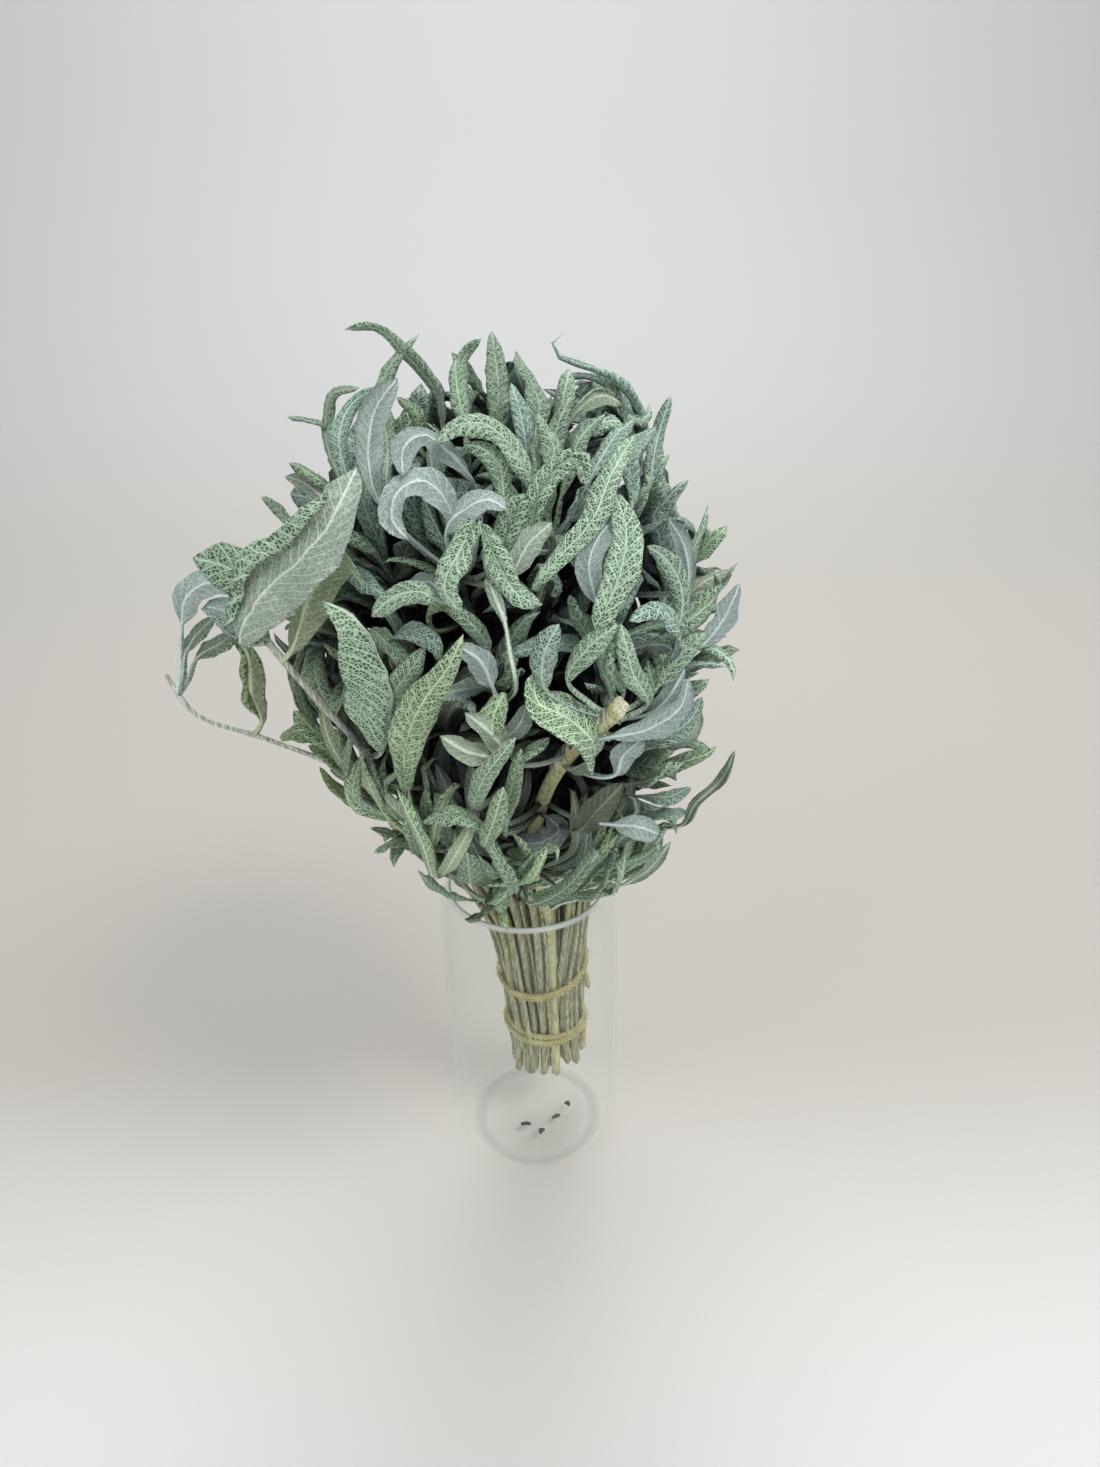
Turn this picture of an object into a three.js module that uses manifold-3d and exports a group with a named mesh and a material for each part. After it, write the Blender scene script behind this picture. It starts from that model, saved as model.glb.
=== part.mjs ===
// A bunch of dried sage, tied with string and standing in a can-shaped drinking glass.
// Units are millimetres. +Z is up, the origin is the middle of the glass's foot, and -Y is the front.
//
// The stems are packed in rings where the string ties them. They lean a little forward inside the glass,
// pass its mouth and fan out above it. Each sprig is one piece: a square stem with its leaves.
import * as THREE from "three";
import { mergeVertices } from "three/addons/utils/BufferGeometryUtils.js";
import Module from "manifold-3d";

const wasm = await Module();
wasm.setup();

// ---- Driving dimensions ----

const glass = {
  height: 135,
  bodyRadius: 37,
  mouthRadius: 33,
  footRadius: 29,
  wall: 1.8,
  floor: 5,
  shoulder: 26, // height of the inward curve below the mouth
  heel: 20, // height of the inward curve above the foot
};

const bunch = {
  ringCounts: [1, 6, 12, 19],
  stemEndZ: 37, // where the cut ends hang, above the glass's floor
  stemEndSpread: 7,
  tieZ: 58,
  upperTieZ: 93,
  tieRadius: 15.6, // middle of the outer ring of stems at the lower tie
  mouthBundleRadius: 21.3,
  fanRate: 0.135, // how fast the stems open out above the mouth
  fanPower: 1.15,
  tallestStem: 184, // above the mouth
  lean: [ // the middle line of the bunch, from the cut ends to the crown
    new THREE.Vector3(6, 6, 30),
    new THREE.Vector3(5.5, 3, 58),
    new THREE.Vector3(5, -1.5, 93),
    new THREE.Vector3(4, -6, 135),
    new THREE.Vector3(0, -13, 185),
    new THREE.Vector3(-4, -19, 235),
    new THREE.Vector3(-6, -25, 300),
  ],
};

const stem = { thick: 2.1, mouthThick: 1.9, tipThick: 0.8, steps: 8 }; // half the square section's diagonal
const string = { radius: 1.0, lowerTurns: 2.5, pitch: 2.6, sides: 6, steps: 84 };
const leafThickness = 0.55; // half the thickness in the middle
const clearance = 0.3;
const leafPairsFrom = 14; // lowest leaf, above the mouth
const leafPairGap = 30;
const leafTries = 7;
const leastTurn = 0.02; // radians; a straighter leaf is bent this much, so that its arc has a radius

// ---- Small helpers ----

const vector = (x, y, z) => new THREE.Vector3(x, y, z);
const mix = THREE.MathUtils.lerp;
const radians = THREE.MathUtils.degToRad;

// A seeded sequence of numbers, so that every build grows the same bunch.
function sequence(seed) {
  let state = seed;
  return (low, high) => {
    state = (Math.imul(state, 1664525) + 1013904223) >>> 0;
    return low + ((high - low) * state) / 4294967296;
  };
}

function solidOf(geometry) {
  const bare = geometry.clone();
  bare.deleteAttribute("normal");
  bare.deleteAttribute("uv");
  const merged = mergeVertices(bare, 1e-4);
  return new wasm.Manifold(
    new wasm.Mesh({
      numProp: 3,
      vertProperties: new Float32Array(merged.attributes.position.array),
      triVerts: new Uint32Array(merged.index.array),
    }),
  );
}

function geometryOf(solid) {
  const mesh = solid.getMesh();
  const geometry = new THREE.BufferGeometry();
  geometry.setAttribute("position", new THREE.BufferAttribute(mesh.vertProperties, 3));
  geometry.setIndex(new THREE.BufferAttribute(mesh.triVerts, 1));
  geometry.computeVertexNormals();
  return geometry;
}

// ---- The glass ----

// The outline of the glass at a distance `inset` inside its outer face.
function glassWall(inset, startZ) {
  const body = glass.bodyRadius - inset;
  const foot = glass.footRadius - inset;
  const mouth = glass.mouthRadius - inset;
  const shoulderZ = glass.height - glass.shoulder;
  const points = [];
  for (let i = 0; i <= 6; i++) {
    const a = (i / 6) * (Math.PI / 2);
    points.push(new THREE.Vector2(mix(foot, body, Math.sin(a)), mix(glass.heel, startZ, Math.cos(a))));
  }
  for (let i = 0; i <= 5; i++) {
    const a = (i / 5) * (Math.PI / 2);
    points.push(new THREE.Vector2(mix(mouth, body, Math.cos(a)), mix(shoulderZ, glass.height, Math.sin(a))));
  }
  return points;
}

function glassGeometry() {
  const outside = glassWall(0, 1);
  const inside = glassWall(glass.wall, glass.floor).reverse();
  const lipRise = 0.6;
  const lip = new THREE.Vector2(glass.mouthRadius - glass.wall / 2, glass.height + lipRise);
  const foot = [new THREE.Vector2(0, 0), new THREE.Vector2(glass.footRadius - 2, 0)];
  const floor = [new THREE.Vector2(0, glass.floor)];
  const profile = [...foot, ...outside, lip, ...inside, ...floor];
  return new THREE.LatheGeometry(profile, 48).rotateX(Math.PI / 2);
}

// ---- Stems and leaves ----

// A square stem along a line, tapering as `halfAt` says.
function stemGeometry(line, halfAt) {
  const frames = line.computeFrenetFrames(stem.steps, false);
  const unit = new THREE.CylinderGeometry(1, 1, 1, 4, stem.steps);
  const at = unit.attributes.position;
  for (let i = 0; i < at.count; i++) {
    const along = at.getY(i) + 0.5;
    const step = Math.round(along * stem.steps);
    const half = halfAt(along);
    const point = line
      .getPointAt(along)
      .addScaledVector(frames.normals[step], at.getX(i) * half)
      .addScaledVector(frames.binormals[step], -at.getZ(i) * half);
    at.setXYZ(i, point.x, point.y, point.z);
  }
  return unit;
}

// Half the width of a leaf at each ring of its sphere, as a share of its widest: a stalk, then the blade.
const leafOutline = [0, 0.16, 0.86, 1, 0.55, 0];

// A leaf: a flattened sphere bent along an arc. It starts at `from`, heads along `out` and turns towards `bend`.
function leafGeometry({ from, out, bend, length, width, turn }, extra = 0) {
  const rings = leafOutline.length - 1;
  const unit = new THREE.SphereGeometry(1, 4, rings);
  const side = out.clone().cross(bend);
  const at = unit.attributes.position;
  for (let i = 0; i < at.count; i++) {
    const ring = Math.round((Math.acos(-at.getY(i)) / Math.PI) * rings);
    const along = (at.getY(i) + 1) / 2;
    const arc = Math.abs(turn) < leastTurn ? leastTurn : turn;
    const angle = arc * along;
    const flat = Math.hypot(at.getX(i), at.getZ(i)) || 1;
    const halfWidth = leafOutline[ring] ? (leafOutline[ring] * width) / 2 + extra : 0;
    const halfThick = leafOutline[ring] ? leafThickness + extra : 0;
    const point = from
      .clone()
      .addScaledVector(out, (length * Math.sin(angle)) / arc)
      .addScaledVector(bend, (length * (1 - Math.cos(angle))) / arc)
      .addScaledVector(side, (at.getX(i) / flat) * halfWidth)
      .addScaledVector(bend, (at.getZ(i) / flat) * halfThick * Math.cos(angle))
      .addScaledVector(out, -(at.getZ(i) / flat) * halfThick * Math.sin(angle));
    at.setXYZ(i, point.x, point.y, point.z);
  }
  return unit;
}

// ---- The bunch ----

const leanLine = new THREE.CatmullRomCurve3(bunch.lean);

// The middle of the bunch at a height.
function middleAt(z) {
  let low = 0;
  let high = 1;
  for (let i = 0; i < 24; i++) {
    const half = (low + high) / 2;
    if (leanLine.getPoint(half).z < z) low = half;
    else high = half;
  }
  return leanLine.getPoint(low).setZ(z);
}

// How far from the middle the outer ring of stems stands at a height.
function bundleRadius(z) {
  const { tieZ, upperTieZ, tieRadius, mouthBundleRadius, fanRate, fanPower } = bunch;
  if (z < tieZ) return tieRadius + (tieZ - z) * 0.05;
  if (z < upperTieZ) return mix(tieRadius, tieRadius + 0.9, (z - tieZ) / (upperTieZ - tieZ));
  if (z < glass.height) {
    return mix(tieRadius + 0.9, mouthBundleRadius, (z - upperTieZ) / (glass.height - upperTieZ));
  }
  return mouthBundleRadius + fanRate * (z - glass.height) ** fanPower;
}

// Each stem's place in the tied bundle: how far out it is, from 0 to 1, and in which direction.
function bundleSlots() {
  const slots = [];
  bunch.ringCounts.forEach((count, ring) => {
    for (let i = 0; i < count; i++) {
      const share = ring / (bunch.ringCounts.length - 1);
      slots.push({ share, angle: ((i + ring * 0.37) / count) * 2 * Math.PI });
    }
  });
  return slots;
}

function slotPoint({ share, angle }, z) {
  const radius = share * bundleRadius(z);
  return middleAt(z).add(vector(radius * Math.cos(angle), radius * Math.sin(angle), 0));
}

// A stem's line: up through the two ties and the mouth, and then along the fan or its own route.
function stemLine(slot, random, route) {
  const { stemEndZ, stemEndSpread, tieZ, upperTieZ, tallestStem } = bunch;
  const inGlass = [stemEndZ + random(-stemEndSpread, stemEndSpread), tieZ, upperTieZ, glass.height];
  const points = inGlass.map((z) => slotPoint(slot, z));
  const height = tallestStem * Math.sqrt(1 - 0.5 * slot.share ** 2) * random(0.88, 1.04);
  const sway = random(-5, 5);
  const across = vector(-Math.sin(slot.angle), Math.cos(slot.angle), 0);
  const fan = [0.3, 0.65, 1].map((part) =>
    slotPoint(slot, glass.height + height * part).addScaledVector(across, sway * part * part),
  );
  return new THREE.CatmullRomCurve3([...points, ...(route ?? fan)]);
}

// The leaves of an ordinary sprig: pairs up the stem, each pair turned a quarter from the last.
function leafPlans(line, random) {
  const length = line.getLength();
  const plans = [];
  let first = 0;
  while (line.getPointAt(first).z < glass.height + leafPairsFrom) first += 0.01;
  const pairs = Math.max(2, Math.floor((length * (1 - first)) / leafPairGap));
  const turnedBy = random(0, Math.PI);
  for (let pair = 0; pair < pairs; pair++) {
    const along = mix(first, 0.985, (pair + random(0, 0.5)) / pairs);
    for (const side of [0, 1]) {
      plans.push({
        along,
        around: turnedBy + (pair * Math.PI) / 2 + side * Math.PI + random(-0.4, 0.4),
        away: radians(mix(random(36, 58), random(10, 26), pair / (pairs - 1))),
        length: mix(random(32, 46), random(48, 64), pair / (pairs - 1)),
        width: random(9, 15),
        turn: radians(mix(random(-40, 40), random(10, 60), pair / (pairs - 1))),
      });
    }
  }
  return plans;
}

// Places a planned leaf on its stem, turned by `nudge` round it.
function placeLeaf(plan, line, nudge) {
  const from = line.getPointAt(plan.along);
  const tangent = line.getTangentAt(plan.along);
  const east = vector(1, 0, 0).addScaledVector(tangent, -tangent.x).normalize();
  const north = tangent.clone().cross(east);
  const around = plan.around + nudge;
  const outward = east.multiplyScalar(Math.cos(around)).addScaledVector(north, Math.sin(around));
  const out = tangent.multiplyScalar(Math.cos(plan.away)).addScaledVector(outward, Math.sin(plan.away));
  const droop = vector(0, 0, -1).addScaledVector(outward, 0.6);
  const bend = droop.addScaledVector(out, -droop.dot(out)).normalize();
  return { ...plan, from, out, bend };
}

// A leaf that runs from a point on the stem towards a tip, bulging upwards on the way.
function aimedLeaf(line, along, tip, width, lift) {
  const from = line.getPointAt(along);
  const reach = tip.clone().sub(from);
  const straight = reach.clone().normalize();
  const bulge = vector(0, 0, 1).addScaledVector(straight, -straight.z).normalize();
  const turn = radians(lift) * 2;
  const out = straight.clone().multiplyScalar(Math.cos(turn / 2)).addScaledVector(bulge, Math.sin(turn / 2));
  const bend = straight.multiplyScalar(Math.sin(turn / 2)).addScaledVector(bulge, -Math.cos(turn / 2));
  const length = (reach.length() * turn) / 2 / Math.sin(turn / 2);
  return { from, out, bend, length, width, turn };
}

// ---- Pieces ----

const colours = {
  glass: new THREE.MeshStandardMaterial({ color: 0xe8f0ec, roughness: 0.05, transparent: true, opacity: 0.3 }),
  sprig: new THREE.MeshStandardMaterial({ color: 0x8fa08e, roughness: 0.9 }),
  stalk: new THREE.MeshStandardMaterial({ color: 0xa39a6a, roughness: 0.8 }),
  string: new THREE.MeshStandardMaterial({ color: 0xb9ab78, roughness: 0.95 }),
};

const group = new THREE.Group();
const placed = []; // {solid, box} of every piece that is fixed so far

function boxOf(geometry) {
  geometry.computeBoundingBox();
  return geometry.boundingBox;
}

function isClear(geometry) {
  const box = boxOf(geometry);
  const near = placed.filter((other) => other.box.intersectsBox(box));
  if (!near.length) return true;
  const solid = solidOf(geometry);
  return near.every((other) => solid.intersect(other.solid).volume() < 1e-4);
}

function addPiece(name, geometry, material, solid = solidOf(geometry)) {
  placed.push({ solid, box: boxOf(geometry) });
  const mesh = new THREE.Mesh(geometry, material);
  mesh.name = name;
  group.add(mesh);
}

// The string: turns round the lower tie, a slanting run up the left side, and one turn at the upper tie.
function stringLine() {
  const reach = (z) => bundleRadius(z) + stem.thick + 2 * clearance + string.radius;
  const points = [];
  const at = (turns, z) => {
    const angle = turns * 2 * Math.PI;
    const out = vector(reach(z) * Math.cos(angle), reach(z) * Math.sin(angle), 0);
    points.push(middleAt(z).add(out));
  };
  const perTurn = 16;
  const low = string.lowerTurns * perTurn;
  for (let i = 0; i < low; i++) at(i / perTurn, bunch.tieZ - 3 + (i / perTurn) * string.pitch);
  const climbFrom = bunch.tieZ - 3 + string.lowerTurns * string.pitch;
  for (let i = 0; i < perTurn / 2; i++) {
    const part = i / (perTurn / 2);
    at(string.lowerTurns + part / 2, mix(climbFrom, bunch.upperTieZ - 5, part * part * (3 - 2 * part)));
  }
  for (let i = 0; i <= perTurn; i++) {
    at(string.lowerTurns + 0.5 + i / perTurn, bunch.upperTieZ - 5 + (i / perTurn) * 9);
  }
  return new THREE.CatmullRomCurve3(points);
}

function stringGeometry() {
  const section = new THREE.Shape();
  for (let i = 0; i <= string.sides; i++) {
    const a = (i / string.sides) * 2 * Math.PI;
    const [x, y] = [string.radius * Math.cos(a), string.radius * Math.sin(a)];
    if (i) section.lineTo(x, y);
    else section.moveTo(x, y);
  }
  return new THREE.ExtrudeGeometry(section, { steps: string.steps, extrudePath: stringLine() });
}

const stemHalf = (along) =>
  along < 0.4 ? mix(stem.thick, stem.mouthThick, along / 0.4) : mix(stem.mouthThick, stem.tipThick, (along - 0.4) / 0.6);

// Sprigs that leave the crown on their own routes, by the slot of the outer ring that they take.
const outerRing = bunch.ringCounts.at(-1);
const firstOuter = bunch.ringCounts.slice(0, -1).reduce((a, b) => a + b, 0);
const ownRoutes = new Map([
  [
    "sprig_left_branch",
    {
      slot: 11,
      route: [vector(-29, -38, 185), vector(-48, -62, 233), vector(-63, -72, 264), vector(-69, -74, 277)],
      leaves: [
        { along: 0.97, tip: vector(-38, -78, 316), width: 20, lift: 22 },
        { along: 0.9, tip: vector(-50, -62, 282), width: 15, lift: 15 },
        { along: 0.95, tip: vector(-92, -62, 286), width: 18, lift: 20 },
        { along: 0.72, tip: vector(-40, -74, 262), width: 18, lift: 12 },
        { along: 0.7, tip: vector(-22, -78, 250), width: 15, lift: 10 },
      ],
    },
  ],
  [
    "sprig_left_droop",
    {
      slot: 10,
      route: [
        vector(-30, -30, 171),
        vector(-50, -42, 207),
        vector(-77, -55, 231),
        vector(-96, -60, 243),
        vector(-102, -60, 256),
      ],
      leaves: [
        { along: 0.99, tip: vector(-80, -56, 284), width: 14, lift: 30 },
        { along: 0.97, tip: vector(-72, -58, 275), width: 12, lift: 20 },
        { along: 0.82, tip: vector(-76, -60, 262), width: 13, lift: -20 },
        { along: 0.6, tip: vector(-62, -30, 205), width: 13, lift: 15 },
      ],
    },
  ],
  [
    "cut_stalk",
    {
      slot: 14,
      route: [vector(4, -46, 180), vector(8, -60, 209), vector(16, -74, 233), vector(30, -90, 256)],
      leaves: [
        { along: 0.86, tip: vector(4, -92, 252), width: 17, lift: 30 },
        { along: 0.66, tip: vector(22, -70, 205), width: 9, lift: 25 },
      ],
    },
  ],
]);

addPiece("glass_vase", glassGeometry(), colours.glass);
addPiece("tie_string", stringGeometry(), colours.string);

const slots = bundleSlots();
const ownBySlot = new Map([...ownRoutes].map(([name, own]) => [firstOuter + own.slot, { name, ...own }]));
const lines = slots.map((slot, i) => stemLine(slot, sequence(i * 7919 + 11), ownBySlot.get(i)?.route));
const stemGeometries = lines.map((line, i) => {
  const isStalk = ownBySlot.get(i)?.name === "cut_stalk";
  return stemGeometry(line, isStalk ? (along) => mix(stem.mouthThick, 2.9, Math.max(0, along * 2 - 1)) : stemHalf);
});

// All the stems are fixed before any leaf, so a leaf never crosses a stem.
const stemSolids = stemGeometries.map((geometry) => solidOf(geometry));
const growing = slots.map((slot, i) => ({
  index: i,
  solid: stemSolids[i],
  own: ownBySlot.get(i),
  random: sequence(i * 104729 + 5),
  entry: { solid: stemSolids[i], box: boxOf(stemGeometries[i]) },
}));
growing.forEach(({ entry }) => placed.push(entry));

// Sprigs with their own routes grow first, then the rest from the outside in.
const order = [...growing].sort((a, b) => Number(Boolean(b.own)) - Number(Boolean(a.own)) || b.index - a.index);
for (const sprig of order) {
  const line = lines[sprig.index];
  placed.splice(placed.indexOf(sprig.entry), 1);
  const plans = sprig.own
    ? sprig.own.leaves.map(({ along, tip, width, lift }) => aimedLeaf(line, along, tip, width, lift))
    : leafPlans(line, sprig.random);
  for (const plan of plans) {
    for (let attempt = 0; attempt < leafTries; attempt++) {
      const nudge = Math.ceil(attempt / 2) * (attempt % 2 ? 0.45 : -0.45);
      const leaf = plan.from ? plan : placeLeaf(plan, line, nudge);
      if (!isClear(leafGeometry(leaf, clearance))) continue;
      sprig.solid = sprig.solid.add(solidOf(leafGeometry(leaf)));
      break;
    }
  }
  const geometry = geometryOf(sprig.solid);
  const name = sprig.own?.name ?? `sprig_${String(sprig.index + 1).padStart(2, "0")}`;
  addPiece(name, geometry, name === "cut_stalk" ? colours.stalk : colours.sprig, sprig.solid);
}

// Bits of leaf that have fallen to the floor of the glass.
const bits = [
  { at: [-5, -11], length: 5, width: 2.2, heading: 0.2 },
  { at: [2, -15], length: 3.4, width: 3, heading: 1.2 },
  { at: [9, -7], length: 4.6, width: 2.4, heading: 0.6 },
  { at: [14, 0], length: 3, width: 2.6, heading: 2.2 },
];
bits.forEach(({ at: [x, y], length, width, heading }, i) => {
  const geometry = new THREE.SphereGeometry(0.5, 6, 4).scale(length, width, 0.9).rotateZ(heading);
  geometry.translate(x, y, glass.floor + 0.45 + clearance);
  addPiece(`fallen_leaf_bit_${i + 1}`, geometry, colours.sprig);
});

export default group;
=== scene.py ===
"""A bunch of dried sage, tied with string and standing in a can-shaped drinking glass.

Lengths in this file are millimetres. Every mesh is made at its place in the row frame, +Z up with the
origin in the middle of the glass's foot, and is turned into metres as its last step.
"""

import math
import random
from dataclasses import dataclass, field, replace
from functools import lru_cache, partial

import bmesh
import bpy
from bpy.props import FloatProperty, FloatVectorProperty, IntProperty, PointerProperty
from mathutils import Matrix, Quaternion, Vector, noise
from mathutils.bvhtree import BVHTree


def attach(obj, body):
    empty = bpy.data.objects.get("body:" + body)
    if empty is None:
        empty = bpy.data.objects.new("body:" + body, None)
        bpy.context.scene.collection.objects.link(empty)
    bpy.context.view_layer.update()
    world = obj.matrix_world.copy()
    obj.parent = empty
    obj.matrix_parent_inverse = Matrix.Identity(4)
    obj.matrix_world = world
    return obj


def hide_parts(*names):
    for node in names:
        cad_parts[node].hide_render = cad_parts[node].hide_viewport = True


bl_info = {
    "name": "Dried sage bunch",
    "version": (1, 0, 0),
    "blender": (4, 5, 0),
    "location": "3D View > Sidebar > Sage",
    "description": "Makes a tied bunch of dried sage in a glass around its packed frame",
    "category": "Add Mesh",
}

MM = 0.001
UP = Vector((0, 0, 1))
WELD = 1e-4  # vertices nearer to each other than this become one
ROUTE_SAMPLES = 48  # how finely a leaf's route is measured

# The crown of leaves is roughly an egg, standing on the glass's mouth.
CROWN_MIDDLE = Vector((-4, -19, 245))
CROWN_REACH = Vector((78, 78, 102))
FORWARD = Vector((0, -0.85, 0.3))  # out of the crown's front and a little up

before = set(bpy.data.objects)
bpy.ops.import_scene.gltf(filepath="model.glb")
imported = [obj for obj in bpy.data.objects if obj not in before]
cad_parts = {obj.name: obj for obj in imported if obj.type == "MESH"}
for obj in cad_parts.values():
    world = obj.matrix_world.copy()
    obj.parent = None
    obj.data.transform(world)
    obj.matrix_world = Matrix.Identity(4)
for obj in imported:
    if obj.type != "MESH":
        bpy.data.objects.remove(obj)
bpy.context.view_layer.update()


# ---- Sizes, all in millimetres, and colours that a user would change ----


def number(name, default, description="In millimetres"):
    return FloatProperty(name=name, description=description, default=default)


def paint(name, default, description):
    return FloatVectorProperty(name=name, description=description, subtype="COLOR", default=default)


class SageGlassSettings(bpy.types.PropertyGroup):
    """The drinking glass."""

    height: number("Height", 135.0, "Foot to lip")
    body_radius: number("Body radius", 37.0, "Outside")
    mouth_radius: number("Mouth radius", 33.0, "Outside")
    foot_radius: number("Foot radius", 29.0, "Outside")
    wall: number("Wall", 1.8, "Wall thickness")
    floor: number("Floor", 5.0, "Thickness of the floor")
    shoulder: number("Shoulder", 26.0, "Height of the curve below the mouth")
    heel: number("Heel", 20.0, "Height of the curve above the foot")
    tint: paint("Tint", (0.93, 0.95, 0.93), "Colour of the glass")
    lip_tint: paint("Lip tint", (0.36, 0.62, 0.45), "Colour inside the lip")


class SageBunchSettings(bpy.types.PropertyGroup):
    """The stems, where they are tied and how they open out."""

    tie_z: number("Lower tie", 58.0, "Height")
    upper_tie_z: number("Upper tie", 93.0, "Height")
    tie_radius: number("Tie radius", 15.6, "To the outer ring of stems")
    mouth_bundle_radius: number("Radius at the mouth", 21.3)
    fan_rate: number("Fan rate", 0.135, "How fast the stems open out")
    fan_power: number("Fan power", 1.15, "How the opening out grows")
    tallest_stem: number("Tallest stem", 184.0, "Above the mouth")
    squeeze: number("Squeeze", 0.88, "How tightly the string draws the stems in")
    stem_end_z: number("Cut ends", 37.0, "Height of the cut ends")
    stem_end_spread: number("Ragged ends", 7.0, "Spread of the cut ends")
    stem_thick: number("Stem", 1.85, "Half the square's diagonal at the tie")
    stem_tip: number("Stem tip", 0.8, "Half the square's diagonal at the tip")


class SageLeafSettings(bpy.types.PropertyGroup):
    """The leaves and their colours."""

    thickness: number("Thickness", 0.5)
    rib: number("Rib", 0.55, "Height of the midrib on the underside")
    petiole: number("Petiole", 0.75, "Half the leaf stalk's width")
    vein_gap: number("Vein gap", 3.6, "Between side veins")
    cell: number("Cell", 0.85, "Width of a cell of the vein net")
    seed: IntProperty(name="Seed", description="Which way the small leaves grow", default=7)
    cell_colour: paint("Cells", (0.058, 0.125, 0.066), "Upper side between the veins")
    vein_colour: paint("Veins", (0.56, 0.73, 0.615), "Downy veins")
    under_colour: paint("Underside", (0.32, 0.405, 0.35), "Downy underside")


class SageStringSettings(bpy.types.PropertyGroup):
    """The string that ties the bunch."""

    radius: number("Radius", 1.25, "Of the twisted string")
    turns: number("Turns", 3.4, "Turns at the lower tie")
    pitch: number("Pitch", 1.5, "Rise of one turn")
    twist: number("Twist", 6.5, "Length of one twist")
    colour: paint("Colour", (0.72, 0.65, 0.30), "Plant fibre")


SETTINGS = {
    "sage_glass": SageGlassSettings,
    "sage_bunch": SageBunchSettings,
    "sage_leaf": SageLeafSettings,
    "sage_string": SageStringSettings,
}


def settings(name):
    return getattr(bpy.context.scene, name)


# ---- Numbers and curves ----


def mix(a, b, share):
    return a + (b - a) * share


def smooth_step(low, high, value):
    share = min(1.0, max(0.0, (value - low) / (high - low)))
    return share * share * (3 - 2 * share)


def swing(east, north, angle):
    """The way at an angle from east towards north."""
    return east * math.cos(angle) + north * math.sin(angle)


def sequence(seed):
    """A seeded run of numbers, the one that the CAD part's stems grow by."""
    state = seed

    def draw(low, high):
        nonlocal state
        state = (state * 1664525 + 1013904223) % 2**32
        return low + (high - low) * state / 2**32

    return draw


class Line:
    """A centripetal Catmull-Rom curve through points, walked by its length."""

    def __init__(self, points, samples=200):
        self.points = [Vector(p) for p in points]
        self.samples = samples
        self.lengths = [0.0]
        last = self.point(0.0)
        for i in range(1, samples + 1):
            here = self.point(i / samples)
            self.lengths.append(self.lengths[-1] + (here - last).length)
            last = here
        self.length = self.lengths[-1]

    def point(self, share):
        points = self.points
        place = (len(points) - 1) * share
        i = min(int(place), len(points) - 2)
        weight = place - i
        p1, p2 = points[i], points[i + 1]
        p0 = points[i - 1] if i > 0 else 2 * points[0] - points[1]
        p3 = points[i + 2] if i + 2 < len(points) else 2 * points[-1] - points[-2]
        dt0, dt1, dt2 = (math.sqrt((b - a).length) for a, b in ((p0, p1), (p1, p2), (p2, p3)))
        t1 = ((p1 - p0) / dt0 - (p2 - p0) / (dt0 + dt1) + (p2 - p1) / dt1) * dt1
        t2 = ((p2 - p1) / dt1 - (p3 - p1) / (dt1 + dt2) + (p3 - p2) / dt2) * dt1
        c2 = -3 * p1 + 3 * p2 - 2 * t1 - t2
        c3 = 2 * p1 - 2 * p2 + t1 + t2
        return p1 + t1 * weight + c2 * weight**2 + c3 * weight**3

    def at(self, share):
        """The point at a share of the curve's length."""
        target = min(1.0, max(0.0, share)) * self.length
        low, high = 0, self.samples
        while high - low > 1:
            middle = (low + high) // 2
            low, high = (middle, high) if self.lengths[middle] <= target else (low, middle)
        step = self.lengths[low + 1] - self.lengths[low]
        return self.point((low + (target - self.lengths[low]) / step) / self.samples)

    def tangent(self, share):
        step = 1e-3
        return (self.at(min(1.0, share + step)) - self.at(max(0.0, share - step))).normalized()


# ---- Meshes ----


def wrapped_tube(bm, around, along, place, flat=None):
    """A closed tube from a grid, with filled ends.

    place(turn, rise) gives a point and flat(turn, rise) its place on the string's map. Both are given shares
    from 0 to 1: how far round the tube, and how far along it.
    """
    made = bmesh.ops.create_grid(bm, x_segments=around, y_segments=along, size=0.5)["verts"]
    shares = {v: (v.co.x + 0.5, v.co.y + 0.5) for v in made}
    faces = {f for v in made for f in v.link_faces}
    if flat:
        uv_layer = bm.loops.layers.uv["string_mm"]
        for loop in (loop for face in faces for loop in face.loops):
            loop[uv_layer].uv = flat(*shares[loop.vert])
    for v, (turn, rise) in shares.items():
        v.co = place(turn, rise)
    bmesh.ops.remove_doubles(bm, verts=made, dist=WELD)
    live = [f for f in faces if f.is_valid]
    rims = {e for f in live for e in f.edges if e.is_boundary}
    if rims:
        live += bmesh.ops.holes_fill(bm, edges=list(rims))["faces"]
    for face in live:
        face.smooth = True
    return live


def finish_piece(bm, name, material, replaced):
    """Turns a mesh in millimetres into a finished piece that rides with the object."""
    bmesh.ops.scale(bm, verts=bm.verts, vec=(MM, MM, MM))
    mesh = bpy.data.meshes.new(name)
    bm.to_mesh(mesh)
    bm.free()
    piece = bpy.data.objects.new(name, mesh)
    bpy.context.scene.collection.objects.link(piece)
    materials = material if isinstance(material, (list, tuple)) else [material]
    for m in materials:
        mesh.materials.append(m)
    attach(piece, "root")
    for node in replaced:
        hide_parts(node)
    return piece


# ---- Material nodes ----


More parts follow.
